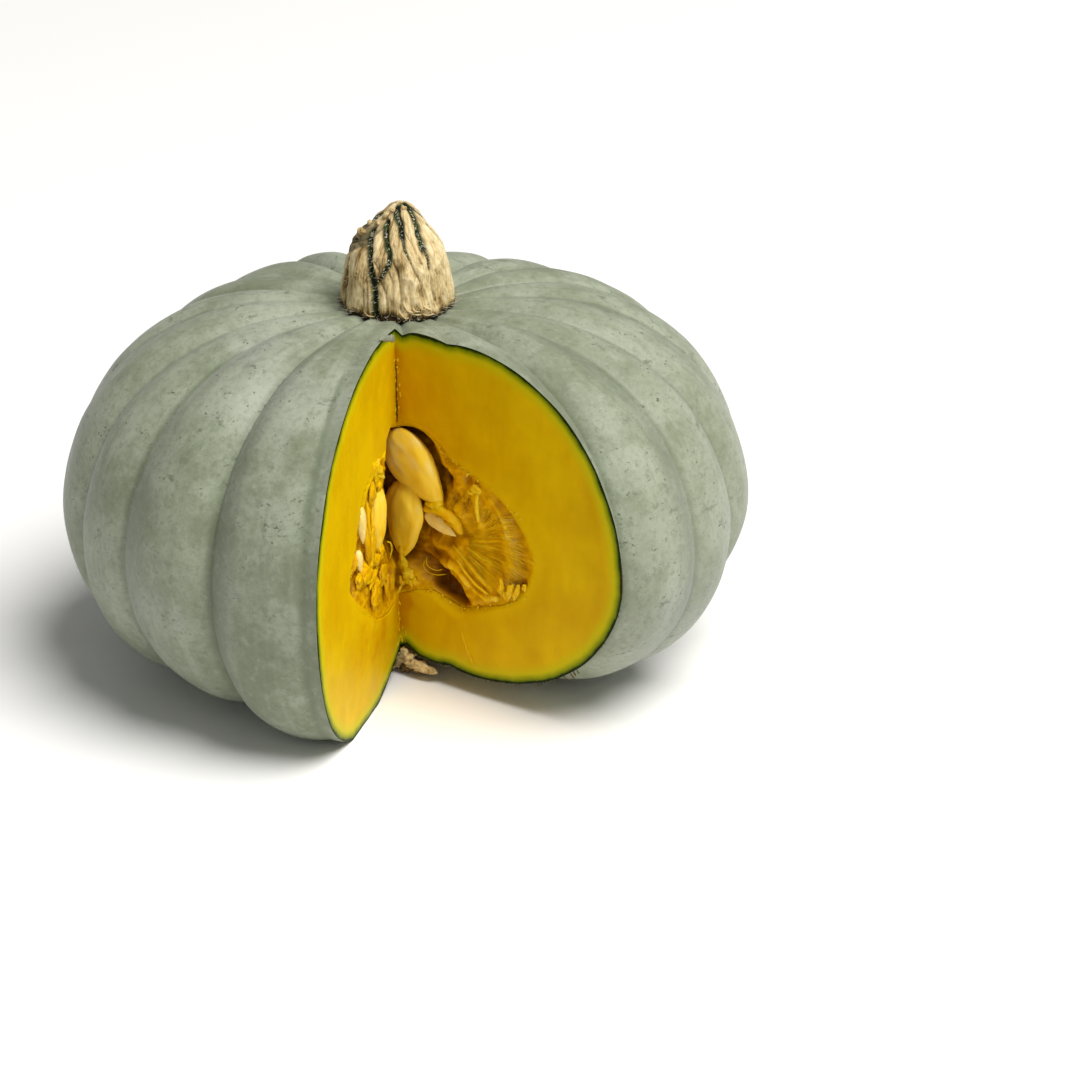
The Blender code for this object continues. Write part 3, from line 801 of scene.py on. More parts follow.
# The same on the left cut, with the same mix of brown pulp and painted shade in its darker hollows.
LEFT_RELIEF = (
    (3.0, 27.0, 6.0, 9.0, 0, 6, -6.0, -0.20),
    (3.0, 3.0, 8.0, 14.0, 0, 6, -6.0, -0.16),
    (36.0, 22.5, 2.6, 2.8, 0, 4, -3.2, -0.34),
    (9.5, -6.0, 3.4, 6.0, 0, 5, -5.5, -0.46),
    (42.0, 12.0, 4.0, 10.0, -5, 5, -1.4, -0.06),
    (21.0, 7.0, 5.0, 14.0, 0, 5, -2.4, -0.06),
    (51.0, -6.5, 3.0, 3.0, 0, 4, -1.8, -0.28),
    (30.0, -11.5, 6.0, 1.8, 10, 4, -1.4, -0.24),
    (36.0, -6.0, 6.0, 3.5, -20, 4, 0.9, 0.14),
    (22.0, -16.0, 6.0, 3.0, 0, 4, 0.8, 0.12),
    (46.0, -1.5, 5.0, 1.8, 0, 4, -1.5, -0.24),
    (10.0, -22.0, 3.0, 8.0, 0, 4, -1.8, -0.20),
)
# The lip over the smooth pocket, and a skin's edge at the right of the fan.
RIGHT_LIPS = (
    (
        ((21.5, -13.5), (24.5, -15.0), (28.6, -17.4), (33.0, -20.0), (38.2, -22.2), (43.0, -21.2)),
        0.9, 1.6, 0.26,
    ),
    (((41.0, 17.5), (44.0, 14.0), (47.0, 10.0), (48.6, 5.0)), 0.8, 0.8, 0.16),
)


def relief_of(relief, along, level):
    push = 0.0
    tone = 0.0
    for centre, height, half_long, half_wide, lean, edge, out, change in relief:
        turn = math.radians(lean)
        across = along - centre
        up = level - height
        first = (across * math.cos(turn) + up * math.sin(turn)) / half_long
        second = (up * math.cos(turn) - across * math.sin(turn)) / half_wide
        weight = 1.0 / (1.0 + (first * first + second * second) ** (edge / 2.0))
        push += weight * out
        tone += weight * change
    return push, tone


def lip_of(lips, along, level):
    spot = Vector((along, level))
    push = 0.0
    tone = 0.0
    for points, width, out, change in lips:
        reaches = []
        for start, end in zip(points, points[1:]):
            span = Vector(end) - Vector(start)
            share = (spot - Vector(start)).dot(span) / span.length_squared
            reaches.append((spot - Vector(start) - span * clamp(share)).length)
        weight = bell(min(reaches) / width)
        push += weight * out
        tone += weight * change
    return push, tone


def torn_pulp(side, along, level):
    # How far the torn surface stands out of the cut, in millimetres, and how light it is.
    spot = Vector((along, level, 20.0 if side == "left" else 60.0))
    lumps = ripple(spot, (0.22, 1.3), (0.55, 0.7))
    tone = 0.50 + noise.noise(spot * 0.30 + UP * 9.0) * 0.16
    if side == "right":
        # the relief darkens the hollows: partly brown pulp, partly painted shade
        push, change = relief_of(RIGHT_RELIEF, along, level)
        lip, lip_change = lip_of(RIGHT_LIPS, along, level)
        push += lip
        tone += change + lip_change
        # the fibres of the fan take the place of the lumps
        across = along - FAN_CENTRE[0]
        up = level - FAN_CENTRE[1]
        reach = math.hypot(across, up)
        turn = math.atan2(up, across)
        fan = 1.0 / (1.0 + ((turn - FAN_TURN) / FAN_SPREAD) ** 8)
        fan /= 1.0 + math.exp((FAN_START - reach) * 1.2)
        fibre = noise.noise(Vector((turn * 13.0, reach * 0.05, 1.0)))
        fibre += 0.6 * noise.noise(Vector((turn * 34.0, reach * 0.07, 5.0)))
        lumps = lumps * (1.0 - 0.85 * fan) + fibre * 0.34 * fan
        tone += fibre * 0.12 * fan + lumps * 0.09 - 0.05
    else:
        # the relief darkens the hollows: partly brown pulp, partly painted shade
        push, change = relief_of(LEFT_RELIEF, along, level)
        fibre = noise.noise(Vector((along * 0.42, level * 0.10, 3.0)))
        fibre += 0.6 * noise.noise(Vector((along * 1.1, level * 0.16, 8.0)))
        lumps += fibre * 0.8
        tone += change + fibre * 0.14 + lumps * 0.06 - 0.11
    return push + lumps - PULP_SETBACK, tone


def build_pulp():
    builder = build_hollow(PULP_WEDGE_COLUMNS, PULP_BACK_COLUMNS, PULP_ROWS, PULP_GAP)
    for side, rim in [(side, rim_of_cut(builder, side)) for side in SIDES]:
        edges = chain_edges(builder, rim)
        starts = [vertex.co.copy() for vertex in rim]
        for layer in range(1, PULP_LAYERS + 1):
            places = [start.lerp(HUB, layer / PULP_LAYERS) for start in starts]
            edges = grow_row(builder, edges, side, places)[0]
    bmesh.ops.remove_doubles(builder, verts=builder.verts[:], dist=SAME_PLACE / 2.0)
    tone_layer = new_value(builder, "tone")
    half = math.radians(WEDGE_ANGLE / 2.0)
    middle_out = (CUT_WAYS["left"][1] + CUT_WAYS["right"][1]).normalized()
    outlines = {"left": LEFT_OUTLINE, "right": RIGHT_OUTLINE}
    moved = []
    inside = []
    for vertex in builder.verts:
        vertex[tone_layer] = PULP_REST_TONE
        cuts = [side for side in SIDES if on_knife_plane(vertex.co, side, -SAME_PLACE, SAME_PLACE)]
        if not cuts:
            inside.append(vertex)
            continue
        side = cuts[0]
        way, out = CUT_WAYS[side]
        along = (vertex.co - CUT_APEX).dot(way) / MILLIMETRE
        level = vertex.co.z / MILLIMETRE
        turn = hub_turn(vertex.co, side)
        push, tone = torn_pulp(side, along, level)
        near = bell(along / PULP_SHARED_WIDTH)
        if near > 0.01:
            other = torn_pulp("left" if side == "right" else "right", along, level)[0]
            push = push * (1.0 - 0.5 * near) + other * 0.5 * near
        hub_reach = math.hypot(along, level - HUB_LEVEL / MILLIMETRE)
        edge = bell((outline_reach(outlines[side], turn) / MILLIMETRE - hub_reach) / PULP_EDGE_WIDTH)
        depth = roll_at(side, turn)[0] * min(1.0, along * MILLIMETRE / APEX_FADE) / MILLIMETRE
        push = push * (1.0 - edge) - depth * edge
        tone += (PULP_EDGE_TONE - tone) * edge
        if along < PULP_CREASE_WIDTH:
            shift = middle_out * (push / math.sin(half))
        else:
            shift = out * push + way * (push / math.tan(half) * near)
        moved.append((vertex, shift * MILLIMETRE, tone))
    sink_rim(inside)
    for vertex, shift, tone in moved:
        vertex.co += shift
        vertex[tone_layer] = tone
    bmesh.ops.translate(builder, verts=builder.verts[:], vec=MIDDLE)
    return face_outwards(builder)


def make_pulp_finish():
    finish = Finish("torn_pulp", 0.40)
    tone = finish.vary(finish.attribute("tone"), 0.22, 330.0, 4.0, 0.6)
    tone = finish.vary(tone, 0.20, 110.0, 4.0, 0.65)
    finish.coat(finish.ramp(
        tone, (0.0, (96, 58, 4)), (0.22, (164, 112, 3)), (0.42, (212, 160, 2)), (0.60, (232, 184, 6)),
        (0.80, (240, 204, 44)), (1.0, (246, 226, 140))))
    finish.bump(finish.speckle(480.0, 4.0, 0.6), 0.5, 0.0005)
    finish.settle({"Specular IOR Level": 0.14})
    finish.soften(0.25, (0.0035, 0.0016, 0.0004))
    return finish.material


pulp_material = make_pulp_finish()
pulp = finish_mesh("torn_pulp", build_pulp(), pulp_material)
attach(pulp, "root")
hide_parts("pulp_with_seeds")

# Seeds. Flat plump seeds with a point at one end, some bare and cream, some still wrapped in
# orange skins, held where they grew at the two cuts.
# Side, along, level, out, lean of the tip from straight down, turn of the flat side, length,
# width, thickness, and how much orange skin covers the seed, in millimetres and degrees.
SEEDS = (
    ("right", 6.4, 21.0, -1.8, 44, 10, 34.0, 22.5, 10.5, 0.58),
    ("right", 1.6, -0.2, -1.6, -4, 12, 31.0, 19.0, 9.0, 0.78),
    ("right", 17.2, 0.9, -2.4, 70, 10, 15.0, 6.4, 3.4, -0.3),
    ("left", 22.0, 8.5, -0.6, 3, 12, 26.0, 10.0, 5.4, 0.70),
    ("left", 40.6, 14.6, -0.5, -8, 8, 15.5, 5.0, 3.2, -0.3),
    ("left", 44.6, 2.0, -0.4, -14, 8, 10.0, 4.2, 2.8, -0.4),
)
SEED_COLUMNS = 56
SEED_ROWS = 48
# Where along a seed its middle lies, and how wide it is beside its point.
SEED_MIDDLE = 0.47
SEED_POINT_WIDTH = 0.20


def on_cut(side, along, level, out):
    return cut_place(side, along * MILLIMETRE, level * MILLIMETRE, out * MILLIMETRE) + MIDDLE


def build_seed(side, along, level, out, lean, turn, length, width, thickness, coat):
    builder = make_ball(SEED_COLUMNS, SEED_ROWS)
    coat_layer = new_value(builder, "tone")
    way, outwards = CUT_WAYS[side]
    angle = math.radians(lean)
    tip = way * math.sin(angle) - UP * math.cos(angle)
    facing = Matrix.Rotation(math.radians(turn), 3, tip) @ outwards
    across = tip.cross(facing).normalized()
    centre = on_cut(side, along, level, out)
    for vertex in builder.verts:
        # share runs from the round end at 0 to the point at 1
        share = 0.5 - 0.5 * math.cos(polar_of(vertex))
        around = math.atan2(vertex.co.y, vertex.co.x)
        wide = 2.42 * math.sqrt(share) * max(0.0, 1.0 - share) ** 0.86
        point = SEED_POINT_WIDTH * math.sqrt(max(0.0, 1.0 - share ** 16)) * min(1.0, share * 4.0)
        wide = max(wide, point)
        flat = math.sin(around)
        bulge = math.copysign(abs(flat) ** 1.25, flat) * min(1.0, wide) ** 0.8
        spot = Vector((math.cos(around) * wide * 2.0, bulge * 2.0, share * 3.0 + along))
        lump = ripple(spot, (0.9, 0.10), (2.6, 0.04))
        place = centre + tip * ((share - SEED_MIDDLE) * length * MILLIMETRE)
        place += across * (math.cos(around) * wide * (1.0 + lump) * width * 0.5 * MILLIMETRE)
        place += facing * (bulge * (1.0 + lump * 2.0) * thickness * 0.5 * MILLIMETRE)
        vertex.co = place
        stripe = bell((math.cos(around) * wide + 0.25) / 0.16) * 0.10
        vertex[coat_layer] = coat + share ** 2 * 0.35 + ripple(spot, (1.4, 0.34)) + stripe
    return face_outwards(builder)


def make_seed_finish():
    finish = Finish("seed_coat", 0.36, (250, 218, 116))
    cover = finish.vary(finish.attribute("tone"), 0.30, 150.0, 3.0)
    finish.lay(finish.patches(260.0, 3.0, 0.55, 0.35, 0.65), 253, 230, 150)
    finish.lay(finish.span(cover, 0.30, 0.75), 254, 214, 62)
    finish.lay(finish.span(cover, 0.80, 1.20), 247, 198, 24)
    finish.bump(finish.speckle(300.0, 3.0, 0.5), 0.25, 0.0004)
    finish.settle({"Specular IOR Level": 0.30})
    finish.soften(0.2, (0.004, 0.0025, 0.001))
    return finish.material


seed_material = make_seed_finish()
for number, seed_row in enumerate(SEEDS):
    seed = finish_mesh("seed_%d" % (number + 1), build_seed(*seed_row), seed_material)
    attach(seed, "root")
    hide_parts("pulp_with_seeds")

# Strings and skins. Loose ends of pulp: fibres that fan out from the seeds, skins that wrapped
# them, curls that the knife left standing, and shreds along the edge of the cavity.
# Side, width in millimetres, tone, and a line of places: along, level and out.
STRINGS = (
    ("right", 1.9, 0.62, (
        (9.6, 4.6, -2.6), (14.0, 7.0, -1.2), (18.6, 7.4, -0.8), (22.2, 6.0, -1.2), (25.2, 3.4, -2.0),
        (26.8, -1.0, -3.0),
    )),
    ("right", 1.6, 0.66, ((12.0, 8.2, -2.4), (15.5, 7.6, -1.0), (18.8, 9.4, -1.6))),
    ("right", 1.1, 0.56, (
        (1.4, -9.0, 0.4), (1.4, -14.0, 0.2), (2.2, -18.0, 0.0), (4.4, -22.0, 0.2), (6.4, -26.6, 0.2),
    )),
    ("right", 1.5, 0.64, ((3.4, -19.0, -0.4), (4.2, -22.5, 0.0), (4.8, -25.0, 0.0))),
    ("right", 0.55, 0.70, ((2.2, -25.0, 0.4), (-0.4, -30.0, 0.6), (-0.6, -32.2, 0.8), (0.9, -34.4, 0.6))),
    ("right", 0.30, 0.62, ((28.4, -37.5, 0.0), (29.6, -41.0, 0.1), (31.0, -45.0, 0.1), (32.0, -48.0, 0.0))),
    ("right", 0.24, 0.66, ((30.8, -44.0, 0.0), (32.4, -47.0, 0.1), (33.8, -50.4, 0.0))),
    ("right", 0.14, 0.60, (
        (12.2, -13.5, 0.0), (12.0, -15.8, 0.8), (14.6, -17.6, 1.0), (18.5, -17.6, 0.8),
        (22.0, -16.6, 0.0),
    )),
    ("right", 0.13, 0.60, ((13.0, -12.0, 0.0), (14.0, -14.6, 1.2), (17.5, -15.8, 1.2), (20.5, -15.0, 0.4))),
    ("right", 0.35, 0.04, ((0.3, 61.0, 0.0), (0.2, 52.0, 0.1), (0.4, 44.0, 0.0), (0.3, 37.5, 0.1))),
    ("right", 0.8, 0.72, ((35.8, 20.0, -1.4), (35.6, 16.0, -0.2), (35.9, 12.0, 0.0), (36.0, 7.0, -0.8))),
    ("right", 0.7, 0.60, (
        (22.0, -6.0, -3.6), (28.0, -10.5, -3.0), (34.0, -14.6, -2.2), (39.0, -18.0, -1.6),
    )),
    ("right", 0.5, 0.66, (
        (23.0, -9.5, -3.4), (28.0, -14.0, -2.0), (34.5, -18.0, -1.0), (40.5, -20.2, -0.6),
    )),
    ("right", 0.5, 0.70, ((28.0, -5.5, -4.2), (32.0, -6.8, -3.6), (37.0, -8.8, -3.4))),
    ("left", 1.2, 0.66, ((22.5, 31.5, -0.6), (25.0, 29.0, 0.2), (21.5, 27.0, 0.4), (18.0, 24.0, -0.4))),
    ("left", 0.9, 0.60, ((29.0, 32.0, -0.6), (27.0, 27.0, 0.2), (27.5, 22.0, 0.0), (25.0, 18.0, -0.4))),
    ("left", 0.8, 0.72, ((25.0, 27.0, 0.0), (20.0, 24.6, 0.6), (16.0, 22.4, -0.4))),
    ("left", 0.9, 0.56, ((33.0, 20.0, -1.0), (33.5, 10.0, -0.4), (30.0, 2.0, -0.4), (26.0, -4.0, -0.8))),
    ("left", 0.7, 0.62, ((28.0, 14.0, -1.0), (29.0, 4.0, -0.4), (27.0, -6.0, -0.4), (24.0, -12.0, -0.8))),
    ("left", 1.0, 0.60, ((44.0, -2.0, -1.0), (42.0, -7.0, 0.0), (34.0, -10.0, 0.2), (29.0, -11.0, -0.6))),
    ("left", 0.30, 0.64, ((15.0, -3.0, 0.3), (12.8, -4.4, 1.0), (12.0, -7.4, 1.2), (12.8, -10.8, 0.5))),
)
# Shreds and crumbs: side, along, level, out, half sizes along, up and out, lean, tone.
SHREDS = (
    ("right", 16.6, 9.0, -0.6, 3.6, 2.3, 1.6, -20, 0.64),
    ("right", 1.8, -17.5, -0.4, 1.9, 3.4, 1.5, 10, 0.62),
    ("right", 4.0, -21.6, 0.0, 2.6, 2.6, 1.4, -25, 0.68),
    ("right", 1.2, -24.6, 0.2, 1.3, 1.9, 0.9, 20, 0.62),
    ("right", 6.6, -24.0, -0.2, 1.4, 1.8, 0.8, -30, 0.66),
    ("right", 50.4, -16.0, 0.2, 1.4, 3.2, 1.0, -14, 0.66),
    ("right", 53.4, -15.4, 0.2, 1.1, 2.9, 0.9, -18, 0.62),
    ("right", 46.4, -15.4, 0.0, 1.4, 3.0, 0.9, 4, 0.60),
    ("right", 48.4, -18.0, 0.1, 1.4, 1.5, 0.7, 30, 0.58),
    ("right", 57.0, -12.6, 0.2, 0.8, 1.6, 0.6, -20, 0.66),
    ("right", 43.6, -20.4, 0.1, 2.0, 0.9, 0.7, 10, 0.76),
    ("right", 35.6, 20.0, -0.6, 2.2, 1.6, 1.0, -20, 0.70),
    ("right", 32.8, 18.0, -0.8, 1.5, 1.2, 0.9, 10, 0.66),
    ("left", 28.0, 31.0, 0.0, 2.2, 3.0, 1.0, 20, 0.54),
    ("left", 24.0, 30.0, 0.3, 3.0, 2.0, 0.9, -30, 0.60),
    ("left", 20.5, 27.0, 0.2, 2.6, 1.6, 0.9, 30, 0.52),
    ("left", 26.0, 25.0, 0.2, 2.6, 2.4, 0.9, -10, 0.48),
    ("left", 22.0, 22.0, 0.2, 2.2, 2.0, 0.8, 40, 0.58),
    ("left", 30.0, 22.0, 0.0, 1.8, 4.0, 0.8, 5, 0.52),
    ("left", 31.0, 2.0, 0.0, 3.0, 6.0, 1.1, 5, 0.51),
    ("left", 36.0, 4.0, 0.0, 2.4, 7.0, 0.9, -8, 0.47),
    ("left", 27.0, -5.0, 0.3, 3.4, 2.4, 1.0, 15, 0.47),
    ("left", 22.0, -3.6, 0.5, 2.6, 2.0, 0.9, 0, 0.53),
    ("left", 38.0, -6.0, 0.2, 6.0, 3.0, 1.2, 16, 0.45),
    ("left", 31.0, -10.0, 0.4, 4.4, 1.8, 0.9, -24, 0.51),
    ("left", 46.0, -4.6, 0.0, 3.0, 2.6, 0.9, 0, 0.45),
    ("left", 20.0, -13.0, 0.2, 3.6, 3.0, 1.0, 30, 0.47),
    ("left", 30.0, -18.0, 0.2, 3.0, 4.4, 0.9, 0, 0.45),
    ("left", 16.0, -20.0, 0.3, 2.0, 5.0, 0.9, 0, 0.41),
)
# How many crumbs and fibres there are, and the values by which each group's lumps differ.
APEX_CRUMBS = 46
CAVITY_CRUMBS = 150
FAN_FIBRES = 60
HANGING_FIBRES = 26
PALE_FIBRES = 90
APEX_CRUMB_NUMBER = 100
CAVITY_CRUMB_NUMBER = 200


def along_line(points, share):
    # A smooth line through the points, and its direction.
    place = clamp(share, 0.0, 0.9999) * (len(points) - 1)
    index = int(place)
    step = place - index
    first, second = points[max(0, index - 1)], points[index]
    third, fourth = points[index + 1], points[min(len(points) - 1, index + 2)]
    slope = third - first
    bend = first * 2.0 - second * 5.0 + third * 4.0 - fourth
    twist = second * 3.0 - first - third * 3.0 + fourth
    middle = (second * 2.0 + slope * step + bend * step * step + twist * step ** 3) * 0.5
    way = (slope + bend * 2.0 * step + twist * 3.0 * step * step) * 0.5
    return middle, way.normalized()


def start_gathering():
    # One mesh for many strings and shreds.
    gather = bmesh.new()
    new_value(gather, "tone")
    return gather


def add_string(gather, points, width, tone, sides=7, steps=18, ragged=0.3):
    # A closed string through the points, its width in millimetres to each side, thin at both ends.
    builder = make_ball(sides, steps)
    tone_layer = new_value(builder, "tone")
    for vertex in builder.verts:
        share = polar_of(vertex) / math.pi
        around = math.atan2(vertex.co.y, vertex.co.x)
        middle, way = along_line(points, share)
        across = way.cross(Vector((0.31, 0.52, 0.79))).normalized()
        thick = way.cross(across)
        size = width * MILLIMETRE * min(1.0, 2.2 * math.sin(math.pi * share)) ** 0.7
        size *= 1.0 + ragged * noise.noise(middle * 900.0 + Vector((around, 0.0, 0.0)))
        vertex.co = middle + across * (math.cos(around) * size) + thick * (math.sin(around) * size)
        vertex[tone_layer] = tone + ripple(middle, (500.0, 0.15))
    pour(face_outwards(builder), gather)


def leaning_ways(side, lean):
    # Along and up a cut, both turned by lean degrees, and out of it.
    way, out = CUT_WAYS[side]
    turn = math.radians(lean)
    return way * math.cos(turn) + UP * math.sin(turn), UP * math.cos(turn) - way * math.sin(turn), out


def add_shred(gather, place, ways, sizes, tone, number, finer=3):
    # A closed torn lump, its half sizes in millimetres along the three ways.
    builder = bmesh.new()
    bmesh.ops.create_icosphere(builder, subdivisions=finer, radius=1.0)
    tone_layer = new_value(builder, "tone")
    for vertex in builder.verts:
        spot = vertex.co * 1.3 + Vector((number * 7.3, number * 1.7, 0.0))
        swell = 1.0 + ripple(spot, (1.0, 0.55), (2.7, 0.28), (6.0, 0.14))
        unit = vertex.co * swell
        vertex[tone_layer] = tone + ripple(spot, (1.6, 0.20)) + 0.10 * (swell - 1.0)
        shifts = [way * (share * size * MILLIMETRE) for way, share, size in zip(ways, unit, sizes)]
        vertex.co = place + shifts[0] + shifts[1] + shifts[2]
    pour(face_outwards(builder), gather)


def add_leaning_shreds(gather, rows, first_number=0, finer=3):
    for number, (side, along, level, out, wide, tall, thick, lean, tone) in enumerate(rows):
        add_shred(
            gather, on_cut(side, along, level, out), leaning_ways(side, lean), (wide, tall, thick), tone,
            number + first_number, finer)


def fan_place(turn, reach):
    # Along and level of a place on the fan, in millimetres.
    return FAN_CENTRE[0] + reach * math.cos(turn), FAN_CENTRE[1] + reach * math.sin(turn)


def on_torn(along, level, above):
    return on_cut("right", along, level, torn_pulp("right", along, level)[0] + above)


def add_crumbs(gather, draw):
    # along the apex line, above and below the cavity
    for number in range(APEX_CRUMBS):
        level = draw.uniform(38.0, 62.0) if number % 2 else draw.uniform(-56.0, -33.0)
        along = abs(draw.gauss(0.0, 1.1)) + 0.2
        side = draw.choice(SIDES)
        size = draw.uniform(0.20, 0.60)
        sizes = (size * 0.8, size * draw.uniform(0.8, 2.0), size * 0.5)
        place = on_cut(side, along, level, 0.1)
        tone = draw.uniform(0.45, 0.85)
        add_shred(gather, place, leaning_ways(side, 0.0), sizes, tone, number + APEX_CRUMB_NUMBER, 2)
    # along the edge of the cavity, one in five of them on the left cut
    for number in range(CAVITY_CRUMBS):
        side, outline = (("right", RIGHT_OUTLINE), ("left", LEFT_OUTLINE))[number % 5 == 0]
        turn = math.radians(draw.uniform(-75.0, 60.0))
        reach = outline_reach(outline, turn) / MILLIMETRE + draw.gauss(0.6, 1.0)
        along = reach * math.cos(turn)
        level = HUB_LEVEL / MILLIMETRE + reach * math.sin(turn)
        size = draw.uniform(0.18, 0.60)
        sizes = (size, size * draw.uniform(0.6, 1.6), size * 0.5)
        place = on_cut(side, along, level, 0.1 - roll_at(side, turn)[0] / MILLIMETRE * 0.6)
        tone = draw.uniform(0.45, 0.80)
        add_shred(gather, place, leaning_ways(side, 0.0), sizes, tone, number + CAVITY_CRUMB_NUMBER, 2)


def add_fan(gather, draw):
    # from its dark centre to the light band
    for index in range(FAN_FIBRES):
        turn = math.radians(-48.0 + 100.0 * index / (FAN_FIBRES - 1) + draw.uniform(-1.5, 1.5))
        line = []
        for reach in (7.0, 13.0, 19.0, 25.0):
            stray = draw.uniform(-0.5, 0.5)
            along, level = fan_place(turn, reach)
            along -= stray * math.sin(turn)
            level += stray * math.cos(turn)
            line.append(on_torn(along, level, draw.uniform(-0.1, 0.25)))
        add_string(gather, line, draw.uniform(0.07, 0.17), draw.uniform(0.48, 0.76), 5, 12)
    # torn strings that hang above the fan, beside the largest seed
    for index in range(HANGING_FIBRES):
        start = draw.uniform(22.0, 46.0)
        top = 19.0 - 0.55 * max(0.0, start - 33.0) - draw.uniform(0.0, 5.0)
        fall = draw.uniform(3.0, 9.0)
        line = []
        for share in (0.0, 0.33, 0.67, 1.0):
            along = start - 2.5 * share + draw.uniform(-0.5, 0.5)
            line.append(on_torn(along, top - fall * share, draw.uniform(-0.05, 0.3)))
        add_string(gather, line, draw.uniform(0.10, 0.30), draw.uniform(0.26, 0.62), 5, 12)
    # short pale fibres across the light band and the rim beyond it
    for index in range(PALE_FIBRES):
        turn = math.radians(-28.0 + 66.0 * index / (PALE_FIBRES - 1) + draw.uniform(-0.6, 0.6))
        start = draw.uniform(25.0, 29.0)
        line = []
        for step in (0.0, 3.0, 6.0):
            along, level = fan_place(turn, start + step)
            line.append(on_torn(along, level - 0.4 * step, draw.uniform(0.0, 0.3)))
        add_string(gather, line, draw.uniform(0.06, 0.12), draw.uniform(0.66, 0.90), 4, 8)


def build_strings(draw):
    gather = start_gathering()
    for side, width, tone, line in STRINGS:
        add_string(gather, [on_cut(side, *place) for place in line], width, tone)
    add_leaning_shreds(gather, SHREDS)
    add_crumbs(gather, draw)
    add_fan(gather, draw)
    return gather


strings = finish_mesh("strings_of_pulp", build_strings(random.Random(11)), pulp_material)
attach(strings, "root")
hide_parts("pulp_with_seeds")

# Stem. The dried stub of the stem: flattened bands of tan cork split by dark green furrows, cut
# off slantwise on its left, grown fast to the crown of the fruit with a frayed brown foot.
# Height and radius in millimetres, from the foot to the top.
STEM_PROFILE = (
    (-1.0, 19.6), (0.0, 20.0), (2.2, 20.4), (6.0, 20.2), (10.0, 19.5), (15.0, 18.7), (20.0, 17.4),
    (22.0, 16.7), (25.0, 14.5), (28.0, 12.0), (31.0, 9.7), (34.5, 6.4), (36.6, 3.6), (37.4, 2.0),
)
STEM_TOP = 37.4
STEM_FOOT = -1.0
STEM_COLUMNS = 300
STEM_ROWS = 160
# The share of the rows that closes the stem at each end.
STEM_CAP = 0.06
STEM_DEEPER = 0.05
# How far the stem is sunk into its dish, and the height over which its foot spreads onto it.
STEM_SINK = 5.3
STEM_SPREAD = 8.0
# Cracks and flakes: how wide they are in the grain of the cork, and how deep in millimetres.
CRACK_WIDTH = 0.022
CRACK_DEPTH = 0.5
FLAKE_WIDTH = 0.06
FLAKE_DEPTH = 0.14
# Heights: the knobbly top starts at the first, the painted shade on the slanted cut ends at the second, and
# the third and fourth are how far the top and the frayed foot fade out.
KNOBBLY_FROM = 27.0
SLANT_SHADE_UP_TO = 32.0
TOP_FADE = 6.0
FRAYED_FOOT = 3.2
LEAN_START = 28.0
LEAN_STEP = 0.20
# The slanted cut on the left: its azimuth, and its steps as height and reach from the middle.
SLANT_AZIMUTH = -82.0
SLANT_STEPS = (
    (17.6, 18.4), (18.4, 17.2), (22.8, 16.6), (23.5, 13.8), (27.0, 12.6), (27.6, 11.4), (31.6, 6.6),
    (32.2, 5.6), (35.4, 4.2), (37.4, 1.6),
)
SLANT_EDGE = 17.6
SLANT_RISE = 18.0
SLANT_FACING = 0.2
SLANT_LOWEST = SLANT_STEPS[0][0]
